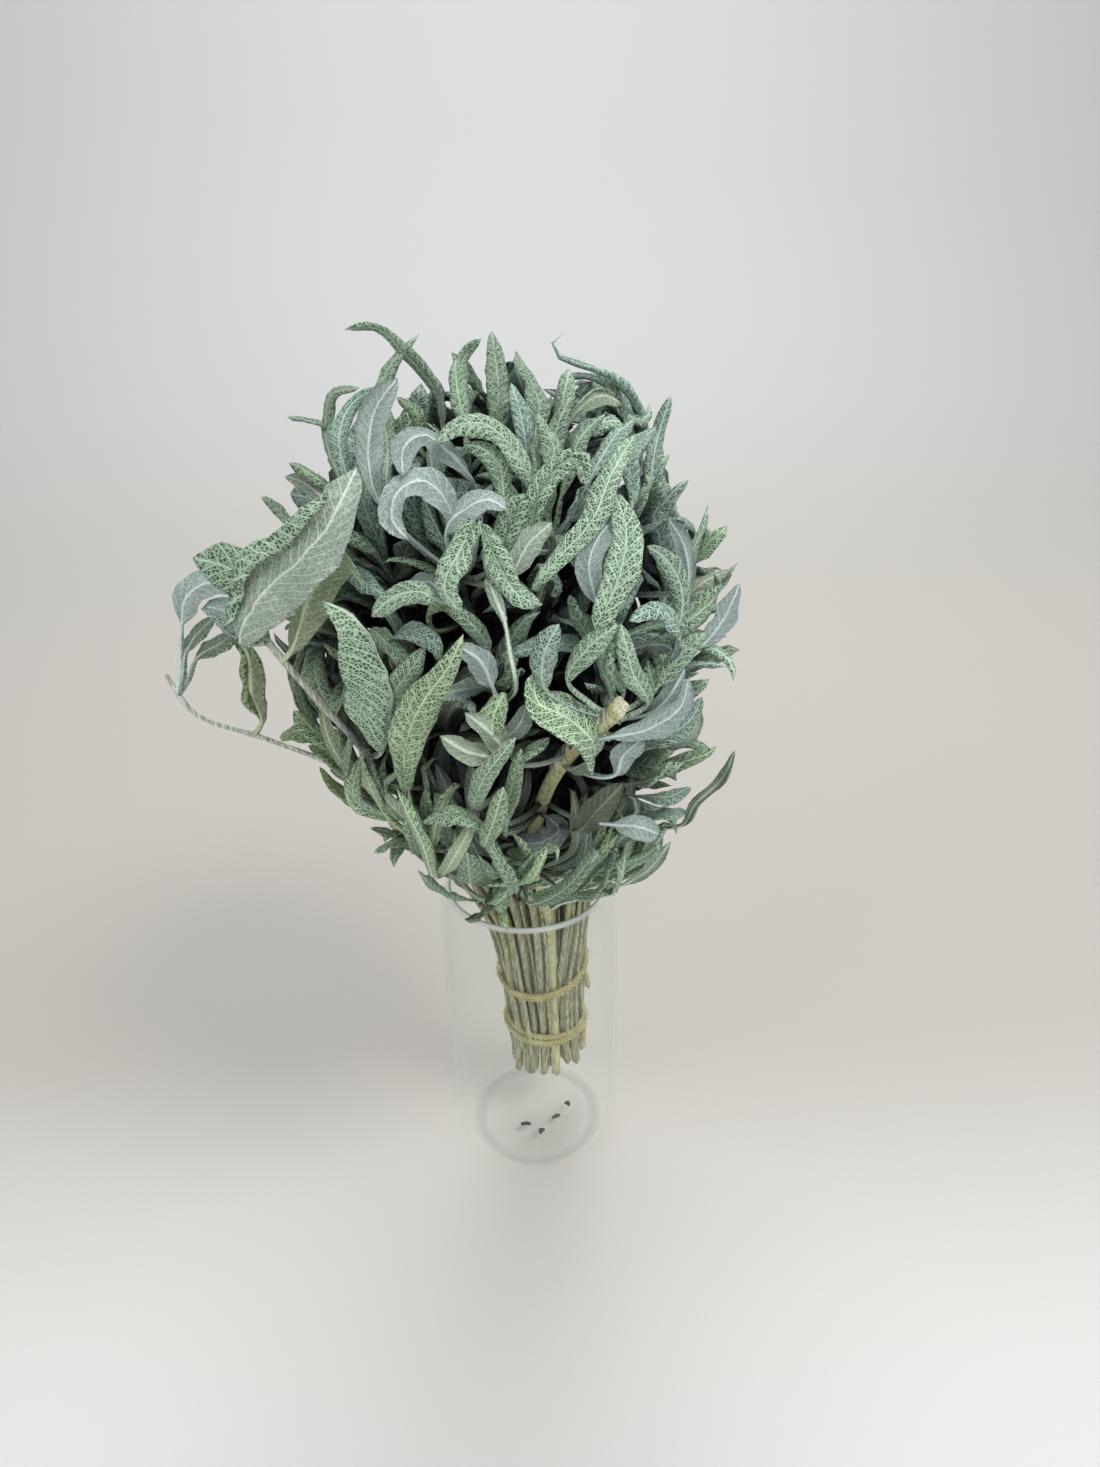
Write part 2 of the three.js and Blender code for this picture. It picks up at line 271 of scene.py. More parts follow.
class Nodes:
    """A short way to write a material's nodes."""

    def __init__(self, name):
        self.material = bpy.data.materials.new(name)
        self.material.use_nodes = True
        self.tree = self.material.node_tree
        self.tree.nodes.clear()
        self.output = self.tree.nodes.new("ShaderNodeOutputMaterial")

    def node(self, kind, **inputs):
        made = self.tree.nodes.new("ShaderNode" + kind)
        for key, value in inputs.items():
            if hasattr(made, key):
                setattr(made, key, value)
            else:
                self.feed(made.inputs[key.replace("_", " ")], value)
        return made

    def feed(self, socket, value):
        if isinstance(value, bpy.types.NodeSocket):
            self.tree.links.new(value, socket)
        else:
            socket.default_value = value

    def maths(self, operation, *values, clamp=False):
        made = self.tree.nodes.new("ShaderNodeMath")
        made.operation = operation
        made.use_clamp = clamp
        for socket, value in zip(made.inputs, values):
            self.feed(socket, value)
        return made.outputs[0]

    def times(self, a, b):
        return self.maths("MULTIPLY", a, b)

    def step(self, value, low, high, to_low=0.0, to_high=1.0):
        """Value carried smoothly from one range to another."""
        made = self.tree.nodes.new("ShaderNodeMapRange")
        made.interpolation_type = "SMOOTHSTEP"
        for socket, part in zip(made.inputs, (value, low, high, to_low, to_high)):
            self.feed(socket, part)
        return made.outputs[0]

    def blend(self, factor, a, b, kind="MIX"):
        made = self.tree.nodes.new("ShaderNodeMix")
        made.data_type = "RGBA"
        made.blend_type = kind
        self.feed(made.inputs["Factor"], factor)
        self.feed(made.inputs["A"], colour(a))
        self.feed(made.inputs["B"], colour(b))
        return made.outputs["Result"]

    def noise(self, vector, scale, detail=2.0, roughness=0.5):
        made = self.tree.nodes.new("ShaderNodeTexNoise")
        self.feed(made.inputs["Vector"], vector)
        self.feed(made.inputs["Scale"], scale)
        self.feed(made.inputs["Detail"], detail)
        self.feed(made.inputs["Roughness"], roughness)
        return made.outputs["Fac"]

    def tinted(self, base, tint):
        return self.blend(1.0, base, tint, "MULTIPLY")

    def grey(self, value):
        return self.node("CombineColor", Red=value, Green=value, Blue=value).outputs[0]

    def place(self):
        """Where a point is, in metres."""
        return self.node("TexCoord").outputs["Object"]

    def bump(self, height, strength, distance):
        return self.node("Bump", Strength=strength, Distance=distance, Height=height).outputs[0]

    def principled(self, **inputs):
        return self.node("BsdfPrincipled", **inputs).outputs[0]

    def surface(self, shader):
        self.tree.links.new(shader, self.output.inputs["Surface"])
        return self.material


def colour(value):
    if isinstance(value, bpy.types.NodeSocket):
        return value
    return (*value, 1.0)[:4]


def crown_shade(n, place):
    """Painted shade: how much of a point's colour is kept, from near black deep inside the crown to full at
    its surface.
    """
    full_shade_depth, shade_free_depth, darkest = 0.64, 0.94, 0.015
    scale = [1 / (MM * reach) for reach in CROWN_REACH]
    shift = [-middle / reach for middle, reach in zip(CROWN_MIDDLE, CROWN_REACH)]
    inside = n.node("Mapping", Vector=place, Scale=scale, Location=shift)
    depth = n.node("VectorMath", operation="LENGTH", Vector=inside.outputs[0]).outputs["Value"]
    return n.step(depth, full_shade_depth, shade_free_depth, darkest, 1.0)


def leaf_material():
    """Dried sage leaf: pale downy veins in a net over darker cells, and a smooth paler underside.

    Reads the leaf's own flat map and its corner colours, which are light, underside and warmth.
    """
    s = settings("sage_leaf")
    n = Nodes("dried_sage_leaf")
    tone = n.node("Attribute", attribute_name="leaf_tone")
    light, under, warm = n.node("SeparateColor", Color=tone.outputs["Color"]).outputs
    place = n.place()
    flat = n.node("SeparateXYZ", Vector=n.node("UVMap", uv_map="leaf_mm").outputs["UV"])
    across, along = flat.outputs["X"], flat.outputs["Y"]

    # Side veins climb from the midrib to the margins, and those of the two halves don't quite meet.
    wobble = n.maths("MULTIPLY_ADD", n.noise(place, 260.0), 1.6, -0.8)
    side = n.maths("ABSOLUTE", across)
    climb = n.maths("ADD", n.maths("MULTIPLY_ADD", side, -1.25, along), wobble)
    shifted = n.maths("ADD", climb, n.times(n.maths("SIGN", across), s.vein_gap * 0.22))
    side_vein = n.step(n.maths("PINGPONG", shifted, s.vein_gap / 2), 0.34, 0.1)
    midrib = n.step(side, 0.5, 0.2)
    veins = n.maths("MAXIMUM", side_vein, midrib)

    # The net between them, another one for each leaf.
    spot = n.node("CombineXYZ", X=across, Y=n.times(along, 0.85), Z=n.times(light, 97.0))
    web = n.node("TexVoronoi", feature="DISTANCE_TO_EDGE", Vector=spot.outputs[0], Scale=1.0 / s.cell)
    to_edge = web.outputs["Distance"]
    net = n.step(to_edge, 0.19, 0.05)

    blotch = n.noise(place, 70.0, 3.0)
    fine = n.noise(place, 900.0, 3.0)
    upper_pale = n.maths("MAXIMUM", n.times(net, 0.66), veins)
    worn = n.maths("ADD", upper_pale, n.step(blotch, 0.4, 0.85, 0.0, 0.22), clamp=True)
    upper = n.blend(worn, s.cell_colour, s.vein_colour)
    down = n.maths("ADD", n.times(net, 0.38), n.times(veins, 0.9), clamp=True)
    felt = n.blend(n.step(fine, 0.4, 0.62), n.tinted(s.under_colour, (0.8, 0.8, 0.8)), s.under_colour)
    both = n.blend(under, upper, n.blend(down, felt, (0.72, 0.84, 0.78)))

    warmed = n.blend(n.times(warm, 0.85), both, n.tinted(both, (1.04, 1.0, 0.6)))
    cooled = n.blend(n.step(warm, 0.3, 0.0, 0.0, 0.8), warmed, n.tinted(warmed, (0.97, 0.97, 1.03)))
    # Painted shade: each leaf's own lightness, darkened towards near black deep inside the crown.
    shade = n.times(n.maths("MULTIPLY_ADD", light, 0.66, 0.66), crown_shade(n, place))

    relief = n.blend(under, n.step(to_edge, 0.0, 0.4), n.maths("ADD", net, n.times(veins, 1.8)))
    shader = n.principled(
        Base_Color=n.tinted(cooled, n.grey(shade)),
        Normal=n.bump(n.maths("MULTIPLY_ADD", fine, 0.35, relief), 0.8, 0.00022),
        Roughness=n.step(net, 0.0, 1.0, 0.74, 0.95),
        Sheen_Weight=0.12,
        Sheen_Roughness=0.45,
        Sheen_Tint=(0.88, 0.95, 0.9, 1),
        Specular_IOR_Level=0.2,
    )
    return n.surface(shader)


def stem_material(name, low, high, pale, turn_z=0.15, crown_unshaded=False):
    """Stem: one colour below a height and another above, with pale and dark streaks along it.

    The last flag leaves out the painted shade that darkens the crown's inside.
    """
    n = Nodes(name)
    place = n.place()
    height = n.node("SeparateXYZ", Vector=place).outputs["Z"]
    stretched = n.node("Mapping", Vector=place, Scale=(1.0, 1.0, 0.07))
    streak = n.noise(stretched.outputs[0], 1400.0, 4.0)
    blotch = n.noise(place, 130.0, 3.0)
    rise = n.maths("MULTIPLY_ADD", blotch, 0.05, n.maths("ADD", height, -0.025))
    base = n.blend(n.step(rise, turn_z - 0.06, turn_z + 0.09), low, high)
    paler = n.blend(n.step(rise, turn_z - 0.02, turn_z + 0.06), pale, n.blend(0.75, base, (1.0, 1.0, 1.0)))
    streaked = n.blend(n.step(streak, 0.42, 0.68), base, paler)
    look = n.blend(n.step(streak, 0.42, 0.3), streaked, n.tinted(streaked, (0.5, 0.47, 0.4)))
    # Painted shade: stems darken towards near black deep inside the crown.
    if not crown_unshaded:
        look = n.tinted(look, n.grey(crown_shade(n, place)))
    shader = n.principled(
        Base_Color=look,
        Normal=n.bump(n.maths("MULTIPLY_ADD", blotch, 0.4, streak), 0.7, 0.0003),
        Roughness=n.step(streak, 0.3, 0.7, 0.62, 0.85),
        Sheen_Weight=0.15,
    )
    return n.surface(shader)


def pith_material():
    """The pale cut end of a stem."""
    n = Nodes("stem_pith")
    grain = n.noise(n.place(), 1500.0, 4.0)
    face = n.blend(n.step(grain, 0.35, 0.65), (0.42, 0.38, 0.24), (0.78, 0.76, 0.62))
    return n.surface(n.principled(Base_Color=face, Roughness=0.9, Normal=n.bump(grain, 0.6, 0.0002)))


def string_material():
    """Plant fibre: fine strands along each ply, with paler and darker stretches."""
    s = settings("sage_string")
    n = Nodes("plant_fibre_string")
    flat = n.node("UVMap", uv_map="string_mm").outputs["UV"]
    strands = n.noise(n.node("Mapping", Vector=flat, Scale=(2.6, 0.35, 1.0)).outputs[0], 1.6, 4.0, 0.65)
    patch = n.noise(n.place(), 160.0, 2.0)
    base = n.blend(n.step(strands, 0.32, 0.7), n.tinted(s.colour, (0.58, 0.56, 0.48)), s.colour)
    shader = n.principled(
        Base_Color=n.blend(n.step(patch, 0.45, 0.75, 0.0, 0.6), base, (0.86, 0.80, 0.50)),
        Normal=n.bump(strands, 0.8, 0.00025),
        Roughness=n.step(strands, 0.3, 0.7, 0.9, 0.7),
        Sheen_Weight=0.3,
    )
    return n.surface(shader)


def glass_material():
    """Thin clear glass: see-through face on and paler at grazing angles.

    The lip's top is a painted highlight, near white and opaque, and the lip is green on its inside.
    A darker line runs round the foot. The shader for the glass's body hides little of the lamps' light, so
    the stems inside are lit.
    """
    s = settings("sage_glass")
    n = Nodes("clear_drinking_glass")
    place = n.place()
    split = n.node("SeparateXYZ", Vector=place)
    height = split.outputs["Z"]
    level = n.node("CombineXYZ", X=split.outputs["X"], Y=split.outputs["Y"], Z=0.0)
    radius = n.node("VectorMath", operation="LENGTH", Vector=level.outputs[0]).outputs["Value"]

    def between(value, low, high):
        """From 0 at low to 1 at high, both in millimetres."""
        return n.step(value, low * MM, high * MM)

    # Painted highlight: the lip's top is drawn near white and opaque.
    lip = between(height, s.height - 1.0, s.height - 0.1)
    collar = between(height, s.height - 4.5, s.height - 1.5)
    green_lip = n.times(collar, between(radius, s.mouth_radius - 0.5, s.mouth_radius - 1.3))
    foot_rim = n.times(between(height, 6.0, 1.0), between(radius, s.foot_radius - 8, s.foot_radius - 3))
    ring_in = between(radius, s.foot_radius - 3.2, s.foot_radius - 2.0)
    ring_out = between(radius, s.foot_radius + 1.0, s.foot_radius - 0.4)
    outline = n.times(n.times(ring_in, ring_out), between(height, 4.0, 2.0))
    wipe = n.noise(place, 26.0, 3.0)

    smear = n.step(wipe, 0.45, 0.8, 0.03, 0.09)
    body = n.principled(Base_Color=n.blend(green_lip, s.tint, s.lip_tint), Roughness=smear, IOR=1.5)
    clear = n.node("BsdfTransparent", Color=n.blend(outline, (0.992, 0.997, 0.992), (0.90, 0.915, 0.89)))
    facing = n.node("LayerWeight", Blend=0.35).outputs["Facing"]
    grazing = n.times(n.maths("POWER", facing, 2.6), 0.42)
    body_share = n.maths("ADD", grazing, n.step(wipe, 0.3, 0.8, 0.015, 0.045))
    # The lip's painted highlight, and a little more body low down near the foot's edge.
    more = n.maths("ADD", n.times(lip, 0.75), n.times(foot_rim, 0.08))
    more = n.maths("ADD", more, n.times(green_lip, 0.32))
    lit_through = n.maths("MULTIPLY_ADD", n.node("LightPath").outputs["Is Shadow Ray"], -0.95, 1.0)
    mixed = n.node("MixShader")
    n.feed(mixed.inputs[0], n.times(n.maths("ADD", body_share, more, clamp=True), lit_through))
    n.feed(mixed.inputs[1], clear.outputs[0])
    n.feed(mixed.inputs[2], body)
    return n.surface(mixed.outputs[0])


# ---- The glass ----


def glass_side(inset, start_z):
    """The outline of the glass a distance inside its outer face, from the foot's edge up to the mouth."""
    s = settings("sage_glass")
    body, foot, mouth = (r - inset for r in (s.body_radius, s.foot_radius, s.mouth_radius))
    heel_steps, shoulder_steps = 14, 12
    points = []
    for i in range(heel_steps + 1):
        a = i / heel_steps * math.pi / 2
        points.append((mix(foot, body, math.sin(a)), mix(s.heel, start_z, math.cos(a))))
    for i in range(shoulder_steps + 1):
        a = i / shoulder_steps * math.pi / 2
        points.append((mix(mouth, body, math.cos(a)), mix(s.height - s.shoulder, s.height, math.sin(a))))
    return points


def make_glass():
    s = settings("sage_glass")
    foot_edge, push_up = 2.0, 1.2
    under = [(0, push_up), (s.foot_radius - 9, push_up), (s.foot_radius - 6.5, 0.25), (s.foot_radius - 5, 0)]
    under += [(s.foot_radius - foot_edge, 0), (s.foot_radius - 0.7, 0.3)]
    lip = []
    lip_steps, half_wall = 8, s.wall / 2
    for i in range(1, lip_steps):
        a = i / lip_steps * math.pi
        rise = half_wall * math.sin(a) * 0.75
        lip.append((s.mouth_radius - half_wall * (1 - math.cos(a)), s.height + rise))
    inside = list(reversed(glass_side(s.wall, s.floor)))
    profile = [*under, *glass_side(0, 1.0), *lip, *inside, (0, s.floor)]
    bm = bmesh.new()
    verts = [bm.verts.new((r, 0, z)) for r, z in profile]
    edges = [bm.edges.new(pair) for pair in zip(verts, verts[1:])]
    bmesh.ops.spin(bm, geom=verts + edges, axis=UP, angle=math.tau, steps=144, use_merge=True)
    bmesh.ops.remove_doubles(bm, verts=bm.verts, dist=WELD)
    bmesh.ops.recalc_face_normals(bm, faces=bm.faces)
    for face in bm.faces:
        face.smooth = True
    return finish_piece(bm, "clear_glass_tumbler", glass_material(), ["glass_vase"])


# ---- Where the stems stand ----

RING_COUNTS = (1, 6, 12, 19)
LEAN = ((6, 6, 30), (5.5, 3, 58), (5, -1.5, 93), (4, -6, 135), (0, -13, 185), (-4, -19, 235), (-6, -25, 300))
LEAN_LINE = Line(LEAN)


def middle_at(z):
    """The middle of the bunch at a height."""
    low, high = 0.0, 1.0
    for _ in range(24):
        half = (low + high) / 2
        if LEAN_LINE.point(half).z < z:
            low = half
        else:
            high = half
    middle = LEAN_LINE.point(low)
    return Vector((middle.x, middle.y, z))


def bundle_radius(z):
    """How far from the middle the outer ring of stems stands at a height."""
    s = settings("sage_bunch")
    mouth_z = settings("sage_glass").height
    upper = s.tie_radius + 0.9
    if z < s.tie_z:
        return s.tie_radius + (s.tie_z - z) * 0.05
    if z < s.upper_tie_z:
        return mix(s.tie_radius, upper, (z - s.tie_z) / (s.upper_tie_z - s.tie_z))
    if z < mouth_z:
        return mix(upper, s.mouth_bundle_radius, (z - s.upper_tie_z) / (mouth_z - s.upper_tie_z))
    return s.mouth_bundle_radius + s.fan_rate * (z - mouth_z) ** s.fan_power


def bundle_slots():
    """Each stem's place in the tied bundle: how far out it is, from 0 to 1, and its direction."""
    rings = len(RING_COUNTS) - 1
    return [
        (ring / rings, (i + ring * 0.37) / count * math.tau)
        for ring, count in enumerate(RING_COUNTS)
        for i in range(count)
    ]


def squeeze(z):
    """How tightly the string draws the stems together, below the mouth."""
    mouth_z = settings("sage_glass").height
    return mix(settings("sage_bunch").squeeze, 1.0, smooth_step(settings("sage_bunch").tie_z, mouth_z + 8, z))


def slot_point(slot, z):
    share, angle = slot
    radius = share * bundle_radius(z) * squeeze(z)
    return middle_at(z) + Vector((radius * math.cos(angle), radius * math.sin(angle), 0))


def stem_line(slot, draw, route):
    """A stem's line: up through the two ties and the mouth, then along the fan or its own route."""
    s = settings("sage_bunch")
    mouth_z = settings("sage_glass").height
    share, angle = slot
    spread = s.stem_end_spread
    heights = (s.stem_end_z + draw(-spread, spread), s.tie_z, s.upper_tie_z, mouth_z)
    points = [slot_point(slot, z) for z in heights]
    loose = random.Random(round(angle * 1000) + 7)
    for point, room in zip(points, (2.0, 0.7, 0.8, 1.2)):
        point += Vector((loose.uniform(-room, room), loose.uniform(-room, room), 0))
    height = s.tallest_stem * math.sqrt(1 - 0.5 * share**2) * draw(0.88, 1.04)
    sway = draw(-5, 5)
    side = Vector((-math.sin(angle), math.cos(angle), 0))
    if not route:
        route = [slot_point(slot, mouth_z + height * p) + side * sway * p * p for p in (0.3, 0.65, 1)]
    return Line([*points, *route])


# ---- Leaves ----

HALF_COLUMNS = (0, 0.1, 0.3, 0.52, 0.7, 0.84, 0.94, 1)
MAIN_COLUMNS = (0, 0.34, 0.66, 0.88, 1)
SMALL_COLUMNS = (0, 0.5, 0.85, 1)


@dataclass
class Leaf:
    """How one leaf grows. Angles are radians; a positive arch bends it towards its underside."""

    root: Vector
    out: Vector  # the way it sets off
    top: Vector  # the way its upper face looks where it sets off, or at its middle if it has a route
    length: float
    width: float
    stalk: float = 0.14  # the petiole's share of the length
    arch: float = 0.4
    hook: float = 0.0  # more bending near the tip
    sway: float = 0.0  # bending to its own left
    twist: float = 0.0
    fold: float = 0.35  # how far each half lifts from flat
    roll: float = 1.6  # how far each margin rolls under
    lean: float = 0.0  # how much more the right margin rolls than the left
    uneven: float = 0.0  # how much wider the right half is than the left
    wave: float = 0.0  # margins' waviness in millimetres
    waves: float = 3.0
    phase: float = 0.0
    point: float = 0.6  # low for a blunt tip, high for a long one
    foot: float = 0.55  # low for a blunt foot, high for a long one
    flap: float = 0.0  # how far the outer part of the right half is folded over
    crumple: float = 0.7  # puckers between the veins, in millimetres
    light: float = 0.5
    warm: float = 0.3
    rows: int = 14
    columns: tuple = MAIN_COLUMNS
    route: tuple = ()  # points that its middle line passes through
    spine: list = field(default_factory=list)

    def grow(self):
        """Works out the leaf's middle line and how it is turned at each row."""
        if self.route:
            return self.follow()
        ahead = self.out.normalized()
        face = (self.top - ahead * self.top.dot(ahead)).normalized()
        here = self.root.copy()
        self.spine = []
        for i in range(self.rows + 1):
            t = i / self.rows
            self.spine.append((here.copy(), ahead.copy(), face.copy()))
            blade = max(0.0, (t - self.stalk) / (1 - self.stalk))
            bend = (self.arch * (0.7 + 0.6 * t) + self.hook * 4 * smooth_step(0.7, 1.0, t)) / self.rows
            turn = self.twist * (1.6 if blade > 0 else 0.2) / self.rows
            side = ahead.cross(face)
            sway = self.sway / self.rows
            swung = Quaternion(side, -bend) @ Quaternion(face, sway) @ Quaternion(ahead, turn)
            ahead = (swung @ ahead).normalized()
            face = (swung @ face).normalized()
            here = here + ahead * (self.length / self.rows)
        return self

    def follow(self):
        """Lays the middle line along the route, with the upper face looking the leaf's way at its middle."""
        line = Line(self.route, ROUTE_SAMPLES)
        self.length = line.length
        frames = carried_frames(line, self.rows)
        _, _, east, north = frames[round(self.rows * (1 + self.stalk) / 2)]
        turned = math.atan2(self.top.dot(north), self.top.dot(east))
        self.spine = []
        for i, (point, ahead, east, north) in enumerate(frames):
            angle = turned + self.twist * (i / self.rows - 0.5)
            self.spine.append((point, ahead, swing(east, north, angle)))
        return self

    def half_width(self, t):
        stalk = settings("sage_leaf").petiole * mix(1.15, 0.8, min(1.0, t / max(self.stalk, 1e-6)))
        blade = (t - self.stalk) / (1 - self.stalk)
        if blade <= 0:
            return stalk
        rise, fall = self.foot, self.point
        peak = (rise / (rise + fall)) ** rise * (fall / (rise + fall)) ** fall
        shape = blade**rise * (1 - blade) ** fall / peak * (0.95 + 0.05 * math.sin(17 * blade + self.phase))
        return max(self.width / 2 * min(1.0, shape), stalk * (1 - blade))

    def half_section(self, t, columns, sign):
        """Across one half of the leaf: (sideways, upwards, facing angle) at each column."""
        blade = max(0.0, (t - self.stalk) / (1 - self.stalk))
        wide = self.half_width(t)
        narrow = wide / (self.width / 2)
        wide *= 1 + sign * self.uneven * smooth_step(0.2, 0.5, narrow)
        roll = self.roll * (1 + sign * self.lean)
        fold = self.fold * mix(1.5, 0.75, blade)
        roll *= mix(1.15, 0.9, math.sin(math.pi * blade)) * smooth_step(0.05, 0.4, narrow)
        over = self.flap * smooth_step(0.25, 0.6, narrow) if sign > 0 else 0.0

        def facing(share):
            return fold - roll * share**2.2 - over * smooth_step(0.5, 0.74, share)

        out = [(0.0, 0.0, fold)]
        x = z = 0.0
        for a, b in zip(columns, columns[1:]):
            angle = facing((a + b) / 2)
            x += math.cos(angle) * (b - a) * wide
            z += math.sin(angle) * (b - a) * wide
            out.append((x, z, facing(b)))
        return out

    def points(self, columns):
        """The leaf's middle surface: for each row, (point, way up) from left to right, and its half width."""
        rows = []
        for i, (here, ahead, face) in enumerate(self.spine):
            t = i / self.rows
            side = ahead.cross(face)
            wide = self.half_width(t)
            narrow = wide / (self.width / 2)
            halves = []
            for sign in (-1, 1):
                half = self.half_section(t, columns, sign)
                turn = self.waves * math.tau * t + self.phase + sign * 1.1
                ripple = self.wave * narrow * (math.sin(turn) + 0.45 * math.sin(2.3 * turn + 1.7))
                halves.append([])
                for share, (x, z, angle) in zip(columns, half):
                    up = face * math.cos(angle) - side * (sign * math.sin(angle))
                    own = self.phase * 5 + self.light * 9  # each leaf puckers its own way
                    spot = Vector((sign * share * wide / 6, t * self.length / 7, own))
                    pucker = self.crumple * narrow * (noise.noise(spot) + 0.5 * noise.noise(spot * 2.3))
                    point = here + side * (sign * x) + face * (z + ripple * share * share) + up * pucker
                    halves[-1].append((sign * share, point, up))
            rows.append(([*reversed(halves[0][1:]), *halves[1]], wide))
        return rows


def add_leaf(bm, leaf):
    """Adds one closed leaf: a grid wrapped round its middle surface, thickest along the midrib."""
    s = settings("sage_leaf")
    rows = leaf.points(leaf.columns)
    count = 2 * (len(leaf.columns) - 1)
    uv_layer = bm.loops.layers.uv["leaf_mm"]
    tone_layer = bm.loops.layers.float_color["leaf_tone"]
    made = bmesh.ops.create_grid(bm, x_segments=2 * count, y_segments=leaf.rows, size=0.5)["verts"]
    under = {f: float(f.calc_center_median().x > 0) for v in made for f in v.link_faces}
    finer = min(1.5, max(0.85, (13 / leaf.width) ** 0.6))  # a small leaf's veins are closer
    flat = {}
    for v in made:
        turn = round((v.co.x + 0.5) * 2 * count)
        i = round((v.co.y + 0.5) * leaf.rows)
        on_top = turn <= count
        row, wide = rows[i]
        share, point, normal = row[turn if on_top else 2 * count - turn]
        t = i / leaf.rows
        tip = smooth_step(0.0, 0.06, 1 - t)
        closed = math.sqrt(max(0.0, 1 - share**4)) * tip
        half = max(s.thickness / 2, s.petiole * 0.75 * smooth_step(leaf.stalk * 1.3, leaf.stalk * 0.6, t))
        rib = s.rib * (1 - 0.8 * t) * math.exp(-((share * wide / 0.8) ** 2))
        v.co = point + normal * closed * (half if on_top else -half - rib)
        flat[v] = (share * wide * finer, t * leaf.length * finer)
    for face, side in under.items():
        face.smooth = True
        for loop in face.loops:
            loop[uv_layer].uv = flat[loop.vert]
            loop[tone_layer] = (leaf.light, side, leaf.warm, 1.0)
    bmesh.ops.remove_doubles(bm, verts=made, dist=WELD)
    base = [e for f in under if f.is_valid for e in f.edges if e.is_boundary]
    bmesh.ops.holes_fill(bm, edges=list(set(base)))


def ready_leaf_layers(bm):
    bm.loops.layers.uv.new("leaf_mm")
    bm.loops.layers.float_color.new("leaf_tone")


def random_dryness(leaf, rng):
    """A leaf that dried in its own way: folded, rolled, hooked and twisted more or less."""
    hooked = rng.random() < 0.55
    twisted = rng.random() < 0.3
    return replace(
        leaf,
        arch=leaf.arch + (rng.uniform(0.5, 1.6) if rng.random() < 0.3 else 0.0),
        hook=rng.uniform(0.6, 2.6) if hooked else rng.uniform(-0.6, 0.5),
        sway=rng.gauss(0, 0.5),
        twist=rng.choice((-1, 1)) * rng.uniform(1.2, 3.0) if twisted else rng.gauss(0, 0.4),
        fold=rng.uniform(0.1, 0.85),
        roll=rng.uniform(1.8, 4.4),
        lean=rng.gauss(0, 0.2),
        wave=rng.uniform(0.3, 1.5),
        waves=rng.uniform(1.5, 4.5),
        phase=rng.uniform(0, 6.28),
        point=rng.uniform(0.42, 0.8),
        light=rng.random(),
    )


# ---- Keeping clear ----


class Crowd:
    """What stands in the bunch so far, so that a new leaf can keep clear of it."""

    CLEARANCE = 0.3
    TEST_COLUMNS = (0, 0.6, 1)
    NO_LIMIT = 10**6

    def __init__(self):
        self.members = []

    def add(self, tree, low, high):
        self.members.append((tree, low, high))

    def leaf_tree(self, leaf, shift=Vector()):
        """A coarse tree of the leaf's blade, which leaves out the stalk's first stretch."""
        rows = [row for row, _ in leaf.points(self.TEST_COLUMNS)]
        first = max(1, round(leaf.rows * leaf.stalk * 0.9))
        kept = [[p + shift for _, p, _ in row] for row in rows[first::2]]
        width = len(kept[0])
        points = [p for row in kept for p in row]
        quads = [
            (r * width + c, r * width + c + 1, (r + 1) * width + c + 1, (r + 1) * width + c)
            for r in range(len(kept) - 1)
            for c in range(width - 1)
        ]
        return boxed_tree(points, quads)

    def clashes(self, boxed, enough=NO_LIMIT):
        tree, low, high = boxed
        found = 0
        for other, other_low, other_high in self.members:
            if any(low[k] > other_high[k] or high[k] < other_low[k] for k in range(3)):
                continue
            found += len(tree.overlap(other))
            if found > enough:
                break
        return found


def keep_in_sight(crowd, leaf):
    """Adds a leaf that stands outermost: nothing that comes later grows over it."""
    middle = leaf.spine[leaf.rows // 2][0]
    outward = ((middle - CROWN_MIDDLE).normalized() + Vector((0, -0.5, 0.3))).normalized()
    for distance in (0, 4, 9, 15, 22):
        crowd.add(*crowd.leaf_tree(leaf, outward * distance))


def boxed_tree(points, faces):
    low = tuple(min(p[k] for p in points) - 0.2 for k in range(3))
    high = tuple(max(p[k] for p in points) + 0.2 for k in range(3))
    return BVHTree.FromPolygons(points, faces, epsilon=Crowd.CLEARANCE), low, high


def crown_depth(point):
    """0 in the middle of the crown and 1 at its surface."""
    return Vector(((p - m) / r for p, m, r in zip(point, CROWN_MIDDLE, CROWN_REACH))).length


def strays(leaf):
    """A count against a leaf that leaves the crown or goes into the glass."""
    surface, glass_reach, glass_room = 1.03, 24, 3
    count = 0
    mouth = settings("sage_glass").height
    for point, _, _ in leaf.spine[2::3]:
        limit = surface - 0.09 * smooth_step(250, 320, point.z)  # the top is narrower than an egg's
        limit -= 0.15 * smooth_step(-20, -55, point.x) * smooth_step(262, 235, point.z)  # and the lower left
        over = crown_depth(point) - limit
        if over > 0:
            count += 3 + int(over * 60)
        if point.z < mouth + glass_room and math.hypot(point.x, point.y) > glass_reach:
            count += 20
    return count


def place_clear(crowd, make, tries, allowed):
    """The best of several tries at a leaf, by how little it meets. None if all meet too much."""
    best = None
    for attempt in range(tries):
        leaf = make(attempt).grow()
        boxed = crowd.leaf_tree(leaf)
        count = crowd.clashes(boxed, best[0] if best else Crowd.NO_LIMIT) + strays(leaf)
        if best is None or count < best[0]:
            best = (count, leaf, boxed)
        if count == 0:
            break
    if best[0] > allowed:
        return None
    crowd.add(*best[2])
    return best[1]


# ---- Stems ----

STEM_REACH = 1.6  # from an outer stem's middle line out to where the string lies


def carried_frames(line, count):
    """(point, tangent, side, side) at even steps along a line, turned as little as possible."""
    frames = []
    side = None
    for i in range(count + 1):
        share = i / count
        tangent = line.tangent(share)
        side = tangent.orthogonal() if side is None else side - tangent * side.dot(tangent)
        side.normalize()
        frames.append((line.at(share), tangent, side.copy(), tangent.cross(side)))
    return frames


